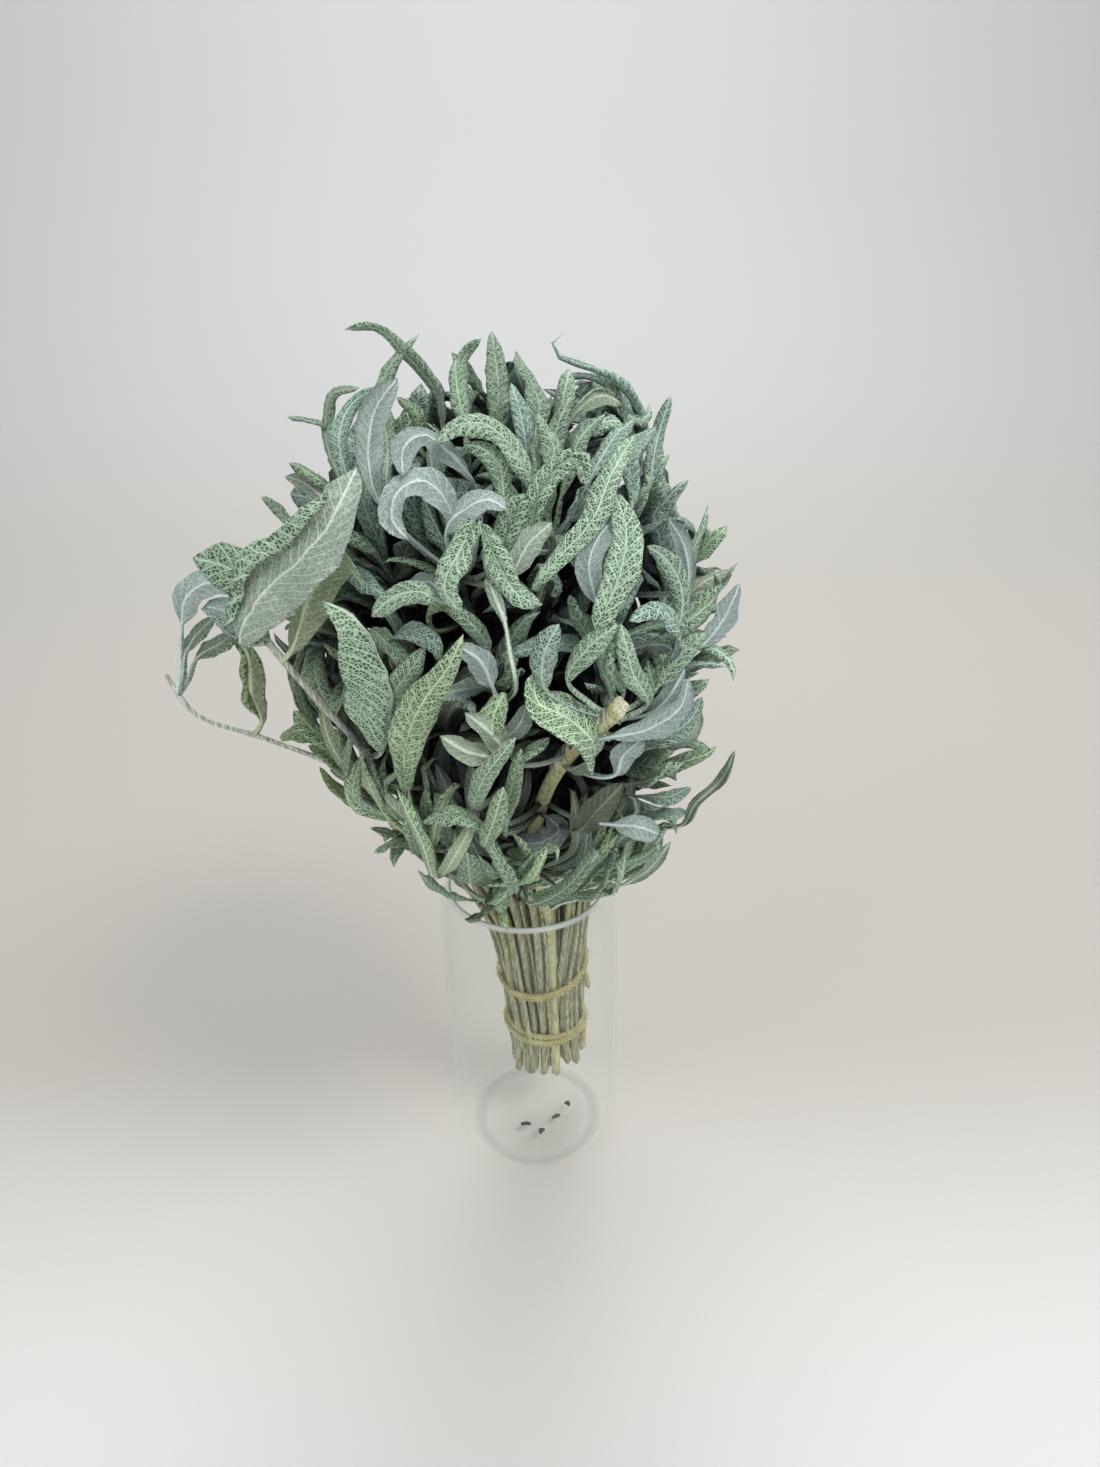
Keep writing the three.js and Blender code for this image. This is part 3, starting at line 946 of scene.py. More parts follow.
def square_share(angle):
    """How far out a rounded square's edge is in a direction, with a shallow groove down each face."""
    c, s = abs(math.cos(angle)), abs(math.sin(angle))
    groove = 0.05 * math.cos(4 * angle)
    return (c**3.2 + s**3.2) ** (-1 / 3.2) / 2 ** (0.5 - 1 / 3.2) * 0.84 - groove


def add_stem(bm, line, half_at, joints, rng, cut=(0.25, 0.1), columns=8, knobbly=0.06):
    """A grooved square stem with a slight swelling at each pair of leaves and slanting cut ends."""
    count = max(12, int(line.length / 4))
    frames = carried_frames(line, count)
    turn0 = rng.uniform(0, math.pi)
    wobble = [rng.uniform(1 - knobbly, 1 + knobbly) for _ in range(count + 1)]

    def place(turn, rise):
        i = round(rise * count)
        point, tangent, east, north = frames[i]
        swell = min(0.35, sum(0.3 * math.exp(-(((rise - j) * line.length / 2.4) ** 2)) for j in joints))
        angle = turn * math.tau
        radius = half_at(rise) * square_share(angle) * wobble[i] * (1 + swell)
        out = swing(east, north, angle + turn0)
        slant = 0.0
        if i in (0, count):
            slant = cut[0] if i == 0 else cut[1]
        return point + out * radius + tangent * (slant * radius * math.cos(angle + 1.0) * 2.2)

    return wrapped_tube(bm, columns, count, place)


def stem_tree(line, half_at, shift=Vector()):
    """A coarse tree of a stem, for keeping leaves clear of it."""
    count = 14
    points, faces = [], []
    for i, (point, _, east, north) in enumerate(carried_frames(line, count)):
        half = half_at(i / count)
        point = point + shift
        points += [point + east * half, point + north * half, point - east * half, point - north * half]
    for i in range(count):
        for k in range(4):
            a, b = i * 4 + k, i * 4 + (k + 1) % 4
            faces.append((a, b, b + 4, a + 4))
    return boxed_tree(points, faces)


def stem_half(scale):
    s = settings("sage_bunch")

    def half(rise):
        if rise < 0.4:
            return scale * mix(s.stem_thick, s.stem_thick * 0.9, rise / 0.4)
        return scale * mix(s.stem_thick * 0.9, s.stem_tip, (rise - 0.4) / 0.6)

    return half


def stalk_half(rise):
    """The cut stalk is thick, and thicker still higher up."""
    return mix(2.3, 3.1, smooth_step(0.35, 0.7, rise))


# ---- The bunch ----

LEAF_FROM = 14.0  # lowest leaf, above the mouth
LEAF_PAIR_GAP = 30.0

# Sprigs that leave the crown on their own routes: the slot that each takes in the outer ring.
OWN_ROUTES = {
    11: ("sprig_left_branch", ((-29, -38, 185), (-48, -62, 233), (-63, -72, 264), (-69, -74, 277))),
    10: (
        "sprig_left_droop",
        ((-30, -30, 171), (-50, -42, 207), (-77, -55, 231), (-96, -60, 243), (-102, -60, 256)),
    ),
    14: ("cut_stalk", ((4, -46, 180), (8, -60, 209), (16, -74, 233), (30, -90, 256))),
}
OWN_NAMES = {name for name, _ in OWN_ROUTES.values()}


@dataclass
class Sprig:
    """One stem and what grows on it."""

    name: str
    index: int
    share: float
    angle: float
    line: Line
    half: object
    joints: list = field(default_factory=list)
    leaves: list = field(default_factory=list)

    def bear(self, leaf, along):
        self.leaves.append(leaf)
        self.joints.append(along)


def plan_sprigs():
    """Every stem of the bunch, on the CAD stem's own line."""
    first_outer = sum(RING_COUNTS[:-1])
    sprigs = []
    for i, slot in enumerate(bundle_slots()):
        name, route = OWN_ROUTES.get(i - first_outer, (f"sprig_{i + 1:02d}", None))
        line = stem_line(slot, sequence(i * 7919 + 11), route)
        half = stalk_half if name == "cut_stalk" else stem_half(0.74 + 0.5 * ((i * 37) % 11) / 10)
        sprigs.append(Sprig(name, i, *slot, line, half))
    return sprigs


def around_stem(line, along, around, away):
    """The way a leaf sets off from a stem, and the way outward from the stem there."""
    tangent = line.tangent(along)
    east = (Vector((1, 0, 0)) - tangent * tangent.x).normalized()
    north = tangent.cross(east)
    outward = swing(east, north, around)
    return tangent * math.cos(away) + outward * math.sin(away), outward


def leaf_on(line, along, around, away, **shape):
    out, outward = around_stem(line, along, around, away)
    droop = outward * 0.6 - UP
    top = -(droop - out * droop.dot(out)).normalized()
    return Leaf(root=line.at(along), out=out, top=top, **shape)


def planned_pairs(sprig):
    """The sprig's main leaves, in pairs that turn a quarter from one to the next, as in the CAD part."""
    line = sprig.line
    draw = sequence(sprig.index * 104729 + 5)
    first = 0.0
    while line.at(first).z < settings("sage_glass").height + LEAF_FROM:
        first += 0.01
    pairs = max(2, int(line.length * (1 - first) / LEAF_PAIR_GAP))
    turned_by = draw(0, math.pi)
    plans = []
    for pair in range(pairs):
        along = mix(first, 0.985, (pair + draw(0, 0.5)) / pairs)
        rise = pair / (pairs - 1)
        for side in (0, 1):
            around = turned_by + pair * math.pi / 2 + side * math.pi + draw(-0.4, 0.4)
            away = math.radians(mix(draw(36, 58), draw(10, 26), rise))
            length = mix(draw(32, 46), draw(48, 64), rise)
            width = draw(9, 15)
            arch = math.radians(mix(draw(-40, 40), draw(10, 60), rise))
            plans.append(dict(along=along, around=around, away=away, length=length, width=width, arch=arch))
    return plans, first


def warmth_of(point):
    """Yellower low down, inside and at the left; bluer at the top and right."""
    low = smooth_step(270, 150, point.z)
    left = smooth_step(20, -70, point.x)
    return min(1.0, 0.12 + 0.45 * low + 0.35 * left * smooth_step(320, 240, point.z))


def grow_leaf(sprig, crowd, rng, plan, tries=6, allowed=7, small=False):
    """Grows one leaf in the clearest of several ways that stay near its plan."""
    plan = dict(plan)
    along, around, away = plan.pop("along"), plan.pop("around"), plan.pop("away")

    def make(attempt):
        reach = min(1.0, attempt / 3)
        leaf = leaf_on(
            sprig.line,
            along,
            around + rng.uniform(-0.7, 0.7) * reach,
            away * (1 + rng.uniform(-0.4, 0.4) * reach),
            **plan,
        )
        leaf = random_dryness(leaf, rng)
        if attempt > 3:
            leaf.length *= 0.8
        if small:
            leaf = replace(leaf, rows=8, columns=SMALL_COLUMNS, stalk=0.2)
        return replace(leaf, warm=min(1.0, max(0.0, warmth_of(leaf.root) + rng.gauss(0, 0.17))))

    leaf = place_clear(crowd, make, tries, allowed)
    if leaf:
        sprig.bear(leaf, along)


def grow_small(sprig, crowd, rng, along, around):
    """Grows one of the small leaves that crowd a leaf's foot."""
    small = {
        "along": along,
        "around": around,
        "away": rng.uniform(0.3, 1.2),
        "length": rng.uniform(15, 36),
        "width": rng.uniform(4.5, 8.5),
        "arch": rng.uniform(-0.5, 1.1),
    }
    grow_leaf(sprig, crowd, rng, small, tries=5, allowed=4, small=True)


def grow_sprig(sprig, crowd, rng):
    """The main pairs, a pair between each two, and small leaves at their feet and low down."""
    plans, first = planned_pairs(sprig)
    between = []
    for plan in plans:
        plan["length"] *= rng.uniform(0.85, 1.12)
        extra = dict(plan)
        extra["along"] = min(0.985, plan["along"] + LEAF_PAIR_GAP / 2 / sprig.line.length)
        extra["around"] += math.pi / 4
        extra["length"] *= rng.uniform(0.6, 0.85)
        extra["width"] *= 0.85
        between.append(extra)
    for plan in plans + between:
        grow_leaf(sprig, crowd, rng, plan)
    for plan in plans:
        for _ in range(3):
            along = min(0.99, plan["along"] + rng.uniform(-0.03, 0.06))
            grow_small(sprig, crowd, rng, along, plan["around"] + rng.uniform(-1.2, 1.2))
    for _ in range(round(6 * sprig.share**2)):
        low = {
            "along": first + rng.uniform(-0.02, 0.2),
            "around": sprig.angle + rng.uniform(-1.3, 1.3),
            "away": rng.uniform(0.8, 1.7),
            "length": rng.uniform(20, 40),
            "width": rng.uniform(6, 11),
            "arch": rng.uniform(-0.9, 0.6),
        }
        grow_leaf(sprig, crowd, rng, low, tries=6, allowed=5, small=True)


def grow_tuft(sprig, crowd, rng):
    """The small leaves round a sprig's tip."""
    leaves = 8
    for k in range(leaves):
        small = {
            "along": 1 - 0.03 * rng.random(),
            "around": k * 2.4 + rng.uniform(-0.4, 0.4),
            "away": rng.uniform(0.1, 0.7),
            "length": rng.uniform(20, 46),
            "width": rng.uniform(6, 11),
            "arch": rng.uniform(-0.3, 0.9),
        }
        grow_leaf(sprig, crowd, rng, small, tries=5, allowed=4, small=True)


# Ways for an upper side to look.
FRONT = (0.05, -0.9, 0.4)
FRONT_LEFT = (-0.6, -0.7, 0.35)
FRONT_RIGHT = (0.65, -0.65, 0.35)
UPWARD = (-0.1, -0.45, 0.9)
AWAY = (-0.05, 0.9, -0.4)
AWAY_LEFT = (-0.6, 0.7, -0.35)

# The outermost leaves. Each has the points from its blade's foot to its tip, its width, the way its upper
# side looks at the middle, how far its margins roll under, how warm and how light it is, and what else is
# its own.
OUTER_LEAVES = (
    # top left
    (
        ((-17, -37, 319), (-21, -15, 328), (-29, -17, 339), (-36, -19, 346), (-45, -22, 346)),
        9, FRONT_LEFT, 3.2, 0.25, 0.6,
    ),
    (((-46, -49, 309), (-54, -22, 318), (-51, -22, 328), (-41, -29, 331)), 8, FRONT_LEFT, 3.0, 0.25, 0.5),
    (((-41, -62, 310), (-44, -53, 321), (-41, -43, 329), (-33, -45, 333)), 9, FRONT, 2.6, 0.0, 0.5),
    (((-32, -71, 308), (-35, -62, 320), (-33, -53, 329), (-28, -43, 335)), 12, AWAY_LEFT, 1.2, 0.05, 0.5),
    (
        ((-30, -62, 306), (-32, -46, 318), (-37, -18, 329), (-32, -17, 337), (-24, -16, 344)),
        10, FRONT, 2.6, 0.25, 0.5,
    ),
    (((-24, -46, 318), (-23, -46, 326), (-29, -42, 330)), 7, FRONT, 3.2, 0.6, 0.1),
    (((-53, -22, 318), (-59, -25, 322), (-64, -26, 323)), 6, UPWARD, 3.0, 0.25, 0.2),
    (((-47, -55, 307), (-54, -51, 312), (-60, -47, 314)), 7, UPWARD, 3.2, 0.5, 0.1),
    (((-48, -56, 304), (-56, -50, 309), (-62, -46, 310)), 6, AWAY, 1.6, 0.25, 0.3),
    (((-64, -34, 292), (-71, -30, 298), (-74, -31, 301)), 6, UPWARD, 3.2, 0.25, 0.2),
    # arching over in the middle
    (
        ((8, -70, 310), (5, -72, 318), (-2, -71, 326), (-9, -72, 327), (-16, -75, 323)),
        11, UPWARD, 1.7, 0.25, 0.7,
    ),
    (((1, -73, 307), (0, -72, 316), (-4, -72, 321), (-9, -71, 322)), 10, UPWARD, 1.6, 0.25, 0.6),
    (
        ((-8, -68, 313), (-14, -68, 320), (-19, -68, 324), (-24, -72, 322), (-24, -79, 316)),
        10, (0.3, 0.6, -0.8), 0.9, 0.0, 0.5,
    ),
    (
        ((-12, -75, 299), (-14, -78, 310), (-19, -79, 315),
         (-25, -81, 313), (-27, -84, 307), (-23, -86, 302)),
        12, (0.3, 0.7, -0.6), 0.9, 0.0, 0.8,
    ),
    (((-14, -80, 302), (-10, -84, 308), (-3, -84, 311), (2, -86, 309)), 10, (0.2, 0.7, -0.7), 0.8, 0.0, 0.9),
    (
        ((-5, -83, 307), (-10, -88, 300), (-14, -94, 292), (-10, -96, 286)),
        11, FRONT, 1.6, 0.25, 0.7, {"twist": 1.4},
    ),
    (
        ((-5, -84, 305), (-1, -90, 297), (4, -95, 290), (10, -97, 288)),
        10, FRONT_LEFT, 2.0, 0.25, 0.8, {"twist": -1.0},
    ),
    (((-1, -81, 294), (2, -80, 303), (6, -78, 311)), 14, FRONT, 2.8, 0.25, 0.4, {"fold": 0.8}),
    (
        ((-16, -90, 287), (-21, -93, 291), (-27, -94, 290), (-33, -94, 285)),
        9, FRONT, 1.4, 0.25, 0.5, {"point": 0.5},
    ),
    # tall ones along the top
    (((-2, -49, 318), (-1, -35, 330), (-3, -15, 344)), 11, FRONT, 2.4, 0.3, 0.3),
    (((-10, -43, 321), (-12, -26, 332), (-11, -15, 338), (-6, -14, 342)), 9, FRONT_RIGHT, 2.8, 0.25, 0.4),
    (((-10, -50, 322), (-12, -41, 331), (-13, -30, 338)), 9, FRONT, 3.0, 0.25, 0.5),
    (
        ((9, -49, 316), (10, -37, 327), (7, -27, 333), (4, -14, 338)),
        12, FRONT_RIGHT, 1.8, 0.25, 0.5, {"twist": 0.8},
    ),
    (((6, -59, 313), (6, -53, 323), (3, -43, 333)), 8, FRONT, 2.0, 0.0, 0.7),
    (((11, -66, 308), (14, -63, 317), (10, -57, 327)), 10, FRONT_RIGHT, 2.2, 0.25, 0.5),
    (((14, -55, 311), (15, -49, 321), (19, -44, 329)), 10, FRONT, 2.8, 0.25, 0.3),
    (((16, -59, 306), (22, -48, 319), (29, -42, 324)), 9, UPWARD, 3.0, 0.25, 0.4),
    (((24, -59, 310), (29, -52, 317), (37, -40, 322)), 10, UPWARD, 2.0, 0.0, 0.5),
    (((42, -37, 302), (46, -22, 313), (50, -19, 325)), 10, FRONT, 2.4, 0.05, 0.5, {"wave": 1.2}),
    (((35, -59, 302), (35, -52, 314), (44, -36, 319)), 9, FRONT, 2.2, 0.0, 0.5),
    # right of the middle
    (
        ((8, -86, 289), (15, -86, 297), (23, -81, 304), (28, -73, 313), (36, -57, 321)),
        11, FRONT, 2.3, 0.25, 0.8,
    ),
    (
        ((8, -79, 298), (9, -77, 308), (15, -73, 316), (20, -72, 318), (22, -78, 312)),
        12, FRONT_LEFT, 2.2, 0.25, 0.6, {"fold": 0.7},
    ),
    (
        ((24, -87, 277), (30, -84, 291), (32, -79, 301), (29, -73, 310)),
        13, FRONT, 1.3, 0.25, 0.9, {"fold": 0.45},
    ),
    (((24, -82, 283), (22, -84, 294), (25, -80, 300), (30, -74, 303)), 10, AWAY, 1.0, 0.0, 0.5),
    (((2, -85, 292), (7, -85, 300), (13, -84, 305)), 9, AWAY, 1.0, 0.25, 0.7),
    (((47, -71, 271), (48, -71, 282), (43, -71, 291), (38, -73, 295)), 11, FRONT, 2.4, 0.15, 0.5),
    (((51, -58, 278), (50, -58, 290), (45, -61, 299)), 8, AWAY, 1.2, 0.0, 0.5),
    (((57, -54, 258), (65, -46, 264), (70, -41, 273)), 11, AWAY_LEFT, 1.2, 0.0, 0.6),
    (((42, -78, 257), (48, -76, 265), (55, -71, 269)), 10, FRONT, 1.8, 0.25, 0.6),
    (((44, -75, 261), (46, -79, 273), (40, -84, 281), (32, -89, 280)), 11, UPWARD, 1.6, 0.0, 0.8),
    (((38, -83, 253), (33, -89, 266), (30, -88, 279)), 10, FRONT, 2.4, 0.25, 0.7),
    (((28, -85, 257), (26, -87, 269), (29, -85, 278)), 9, FRONT_LEFT, 2.2, 0.25, 0.5),
    (((16, -90, 264), (21, -91, 273), (29, -89, 279)), 10, FRONT_LEFT, 1.6, 0.25, 0.6),
    (((10, -90, 262), (10, -92, 273), (14, -92, 281)), 11, FRONT, 1.8, 0.1, 0.5),
    (((28, -90, 247), (38, -88, 248), (47, -83, 252), (50, -77, 258)), 10, AWAY, 1.4, 0.0, 0.5),
    (((29, -88, 234), (31, -90, 241), (37, -88, 246)), 9, AWAY, 1.0, 0.05, 0.5),
    (((29, -83, 214), (36, -86, 215), (43, -80, 208)), 10, AWAY, 1.2, 0.0, 0.7),
    (
        ((19, -76, 208), (24, -80, 217), (32, -79, 226)),
        12, AWAY, 1.3, 0.6, -0.4, {"fold": 0.3, "buried": True},
    ),
    (((37, -68, 219), (42, -76, 226), (47, -75, 231)), 8, FRONT_RIGHT, 2.0, 0.25, 0.4),
    (((39, -64, 212), (46, -70, 215), (55, -61, 213)), 8, UPWARD, 2.2, 0.1, 0.3),
    (((37, -57, 200), (46, -66, 206), (55, -52, 199)), 8, UPWARD, 2.4, 0.1, 0.5),
    (((46, -66, 231), (52, -70, 237), (56, -65, 242)), 8, AWAY, 1.8, 0.25, 0.5),
    (((54, -49, 191), (57, -60, 207), (64, -63, 217), (66, -70, 231)), 6, AWAY, 3.0, 0.25, 0.2),
    # left of the middle, and low
    (
        ((-33, -74, 220), (-29, -87, 245), (-22, -93, 261), (-15, -96, 271), (-10, -97, 281)),
        15, FRONT, 1.2, 0.6, 0.7, {"fold": 0.4, "point": 0.95, "foot": 1.1, "twist": 0.7},
    ),
    (((-34, -75, 243), (-31, -83, 259), (-25, -87, 268), (-21, -87, 274)), 10, FRONT, 1.0, 0.25, 0.6),
    (((-4, -90, 263), (-7, -94, 273), (-12, -95, 277)), 9, AWAY, 0.8, 0.0, 0.5),
    (((-1, -93, 262), (-4, -97, 257), (-4, -98, 252)), 10, FRONT, 1.0, 0.6, 0.5, {"point": 0.5}),
    (((-1, -93, 244), (-5, -98, 254), (-11, -99, 260)), 9, AWAY, 1.6, 0.4, 0.5),
    (((-4, -94, 244), (-11, -98, 248), (-18, -98, 253)), 9, AWAY, 1.2, 0.4, 0.5),
    (((-11, -91, 226), (-7, -98, 240), (2, -100, 253)), 9, FRONT, 1.6, 0.25, 0.5),
    (((-9, -88, 211), (-5, -96, 226), (-2, -98, 237)), 10, FRONT, 2.0, 0.6, 0.5),
    (((-9, -88, 218), (-16, -95, 227), (-26, -93, 223)), 10, UPWARD, 1.8, 0.4, 0.5),
    (
        ((-15, -76, 190), (-14, -88, 201), (-14, -92, 212)),
        12, FRONT, 1.0, 0.3, 0.1, {"fold": 0.1, "point": 0.6},
    ),
    (((-41, -44, 197), (-54, -48, 203), (-60, -48, 209), (-65, -46, 216)), 8, UPWARD, 2.4, 1.0, 0.2),
    (((-44, -46, 201), (-52, -50, 213), (-60, -50, 222), (-67, -48, 225)), 11, UPWARD, 2.0, 1.0, 0.2),
    (((-33, -38, 183), (-43, -42, 186), (-52, -42, 189)), 6, UPWARD, 2.0, 0.4, 0.5),
    (((-36, -38, 182), (-45, -41, 182), (-52, -41, 178)), 6, UPWARD, 2.4, 0.4, 0.5),
    # a little deeper, between the ones above
    (((-3, -82, 215), (0, -91, 233), (3, -91, 245)), 8, FRONT, 2.0, 0.5, 0.3),
    (((-3, -80, 210), (-4, -88, 220), (-3, -90, 231)), 8, FRONT_LEFT, 2.2, 0.4, 0.4),
    (((1, -86, 237), (7, -91, 245), (11, -89, 247)), 7, UPWARD, 1.6, 0.25, 0.5),
    (((-2, -86, 245), (3, -90, 252), (5, -88, 257)), 8, AWAY, 1.4, 0.25, 0.4),
    (((-32, -75, 268), (-25, -84, 277), (-18, -88, 274), (-18, -87, 269)), 9, UPWARD, 1.4, 0.05, 0.4),
    (((-20, -78, 275), (-20, -81, 282), (-15, -83, 284), (-10, -84, 279)), 8, UPWARD, 1.2, 1.0, 0.3),
    (((-5, -82, 270), (-7, -86, 277), (-11, -87, 282), (-15, -84, 283)), 8, FRONT, 2.4, 0.25, 0.6),
    (((-37, -71, 273), (-31, -82, 272), (-25, -85, 268)), 9, UPWARD, 1.8, 0.25, 0.4),
    (
        ((2, -86, 261), (1, -90, 273), (0, -89, 281), (-3, -85, 288), (-4, -83, 292)),
        6, AWAY, 2.0, 0.25, 0.9, {"stalk": 0.72},
    ),
    (((23, -76, 269), (19, -80, 278), (17, -79, 284)), 8, FRONT_LEFT, 2.2, 0.25, 0.3),
    (((-27, -73, 283), (-20, -77, 288), (-16, -79, 285)), 8, AWAY, 1.2, 0.0, 0.4),
    (((-43, -61, 287), (-37, -74, 287), (-31, -79, 285)), 9, UPWARD, 1.6, 0.0, 0.4),
    (((-2, -73, 297), (-3, -81, 293), (-1, -85, 287)), 8, FRONT_RIGHT, 1.6, 0.25, 0.5),
    (((32, -75, 253), (27, -84, 264), (28, -82, 271)), 8, FRONT, 2.0, 0.0, 0.5),
    (((40, -70, 244), (45, -74, 251), (50, -70, 258)), 8, AWAY, 1.4, 0.0, 0.6),
    (((35, -73, 234), (43, -76, 238), (52, -70, 241), (57, -60, 244)), 9, UPWARD, 2.0, 0.05, 0.4),
    # thin stalks that sweep out of the mouth
    (
        ((-1, -36, 155), (8, -44, 166), (18, -50, 174), (27, -52, 176), (40, -55, 182), (46, -60, 191)),
        7, FRONT, 2.6, 0.2, 0.8, {"stalk": 0.72},
    ),
    (((8, -40, 161), (22, -50, 178), (35, -58, 194), (46, -62, 206)), 8, AWAY, 2.2, 0.1, 0.8, {"stalk": 0.6}),
    (
        ((18, -38, 157), (34, -42, 166), (46, -46, 181), (50, -46, 190)),
        8, FRONT_RIGHT, 2.4, 0.25, 0.7, {"stalk": 0.55},
    ),
    (
        ((13, -36, 150), (30, -39, 157), (44, -42, 168), (52, -42, 180)),
        7, AWAY, 2.0, 0.25, 0.6, {"stalk": 0.6},
    ),
    (
        ((-12, -34, 150), (-19, -44, 162), (-24, -52, 178), (-24, -58, 190)),
        7, FRONT, 2.4, 0.25, 0.6, {"stalk": 0.5},
    ),
    (((-18, -28, 146), (-30, -36, 156), (-38, -38, 168)), 8, FRONT_LEFT, 2.4, 0.25, 0.5, {"stalk": 0.35}),
    # the left branch's own
    (
        ((-72, -78, 273), (-61, -82, 289), (-49, -87, 299), (-41, -87, 308), (-35, -80, 319)),
        28, AWAY, 0.7, 0.25, 0.7, {"flap": 2.75, "uneven": 0.32, "fold": 0.15, "point": 0.8, "wave": 1.3},
    ),
    (
        ((-68, -70, 286), (-75, -71, 292), (-84, -69, 294)),
        14, FRONT, 0.7, 0.25, 0.4, {"fold": 0.15, "point": 0.85},
    ),
    (
        ((-61, -72, 267), (-54, -74, 281), (-46, -76, 293), (-41, -82, 296), (-35, -87, 290)),
        13, AWAY, 0.7, 0.8, 0.5,
    ),
    (
        ((-38, -76, 236), (-34, -81, 248), (-32, -86, 263),
         (-35, -88, 277), (-40, -88, 284), (-47, -86, 287)),
        27, (0.8, -0.45, 0.35), 0.3, 0.25, 0.8, {"fold": -0.95, "point": 0.8},
    ),
    # the left drooping stem's own
    (
        ((-78, -55, 237), (-79, -56, 246), (-78, -57, 254), (-78, -57, 261), (-82, -55, 265)),
        13, AWAY, 3.6, 0.9, 0.2, {"twist": 0.8, "lean": 0.3, "wave": 1.4},
    ),
    (
        ((-95, -58, 271), (-92, -58, 279), (-85, -57, 283), (-77, -55, 280)),
        12, (-0.3, 0.7, -0.6), 0.9, 0.0, 0.7,
    ),
    (((-88, -58, 276), (-82, -59, 275), (-76, -61, 267)), 12, (0.1, 0.7, -0.7), 0.9, 0.0, 0.8),
    (((-95, -59, 263), (-90, -58, 269), (-85, -57, 273)), 7, AWAY, 2.6, 0.3, 0.2),
    (((-93, -57, 260), (-86, -57, 264), (-79, -56, 268)), 9, AWAY, 2.4, 0.3, 0.3),
    (((-51, -51, 227), (-62, -53, 232), (-69, -51, 239)), 12, UPWARD, 1.6, 0.7, 0.4),
    (((-60, -46, 222), (-68, -46, 229), (-77, -44, 226)), 12, UPWARD, 1.6, 0.8, 0.3),
    # the cut stalk's own
    (
        ((17, -78, 230), (23, -82, 236), (21, -88, 247), (14, -90, 254),
         (8, -90, 258), (7, -89, 264), (10, -87, 266)),
        14, (0.5, -0.7, 0.5), 0.7, 0.4, 0.95, {"fold": 0.3},
    ),
    (((9, -66, 207), (13, -68, 203), (5, -71, 200), (-1, -67, 200)), 9, (0.1, 0.6, -0.7), 0.7, 0.0, 0.7),
)


def stem_places(sprigs):
    """Places along every stem where a leaf can grow."""
    steps, lowest = 40, 14
    return [(sprig, i / steps, sprig.line.at(i / steps)) for sprig in sprigs for i in range(lowest, steps)]


def nearest_stem(places, point):
    """The sprig that a leaf at a point grows from, how far along it, and the place there."""
    return min(places, key=lambda p: (p[2] - point).length + max(0.0, p[2].z - point.z + 4) * 1.5)


def surface_leaf(places, rng, way, depth, length, width):
    """A leaf that lies along the crown's surface, with the sprig that bears it and how far along."""
    middle = CROWN_MIDDLE + way * CROWN_REACH * rng.uniform(*depth)
    outward = Vector(w / r for w, r in zip(way, CROWN_REACH)).normalized()
    ahead = UP * rng.uniform(0.4, 1.2) + Vector((way.x, 0, 0)) * 0.7
    ahead += Vector((rng.gauss(0, 0.4), rng.gauss(0, 0.4), rng.gauss(0, 0.3)))
    ahead = (ahead - outward * ahead.dot(outward)).normalized()
    reach = rng.uniform(*length) / 2
    bulge, tuck = rng.uniform(0, 4), rng.uniform(0, 5)
    bend = ahead.cross(outward) * rng.gauss(0, 3)
    start = middle - ahead * reach - outward * rng.uniform(2, 7)
    end = middle + ahead * reach - outward * tuck
    sprig, along, root = nearest_stem(places, start)
    route = [root, mix(root, start, 0.5) - UP * 1.5, start, middle + outward * bulge + bend, end]
    if rng.random() < 0.6:
        curl = outward * rng.choice((-1, -1, 1)) + ahead.cross(outward) * rng.gauss(0, 0.5)
        route += [end + ahead * 2 + curl * 3, end + curl * 6.5]
    face = outward * (1 if rng.random() < 0.62 else -1)
    face += Vector((rng.gauss(0, 0.5), rng.gauss(0, 0.5), rng.gauss(0, 0.5)))
    stalk = (start - root).length / Line(route, ROUTE_SAMPLES).length
    leaf = Leaf(root, ahead, face, 1.0, rng.uniform(*width), stalk, rows=16, route=tuple(route))
    leaf = random_dryness(leaf, rng)
    warm = min(1.0, max(0.0, warmth_of(middle) + rng.gauss(0, 0.2)))
    return replace(leaf, twist=leaf.twist * 0.7, warm=warm).grow(), sprig, along


def grow_surface_leaves(places, crowd, rng, count, depth, length, width):
    """Grows leaves all over the crown's surface, wherever there is still room."""
    golden_share, golden_angle = 0.6180339, 2.3999632  # spread the places evenly
    tries, allowed = 4, 3
    for i in range(count):
        high = mix(-0.9, 0.9, (i * golden_share) % 1)
        around = i * golden_angle
        flat = math.sqrt(1 - high * high)
        way = Vector((flat * math.cos(around), flat * math.sin(around), high))
        for _ in range(tries):
            leaf, sprig, along = surface_leaf(places, rng, way, depth, length, width)
            boxed = crowd.leaf_tree(leaf)
            if strays(leaf) <= allowed and crowd.clashes(boxed, allowed) <= allowed:
                crowd.add(*boxed)
                sprig.bear(leaf, along)
                break


def keep_stem_in_sight(crowd, line, half_at, distances):
    """Keeps what comes later from growing in front of a stem or a long leaf stalk."""
    for distance in distances:
        crowd.add(*stem_tree(line, half_at, FORWARD * distance))


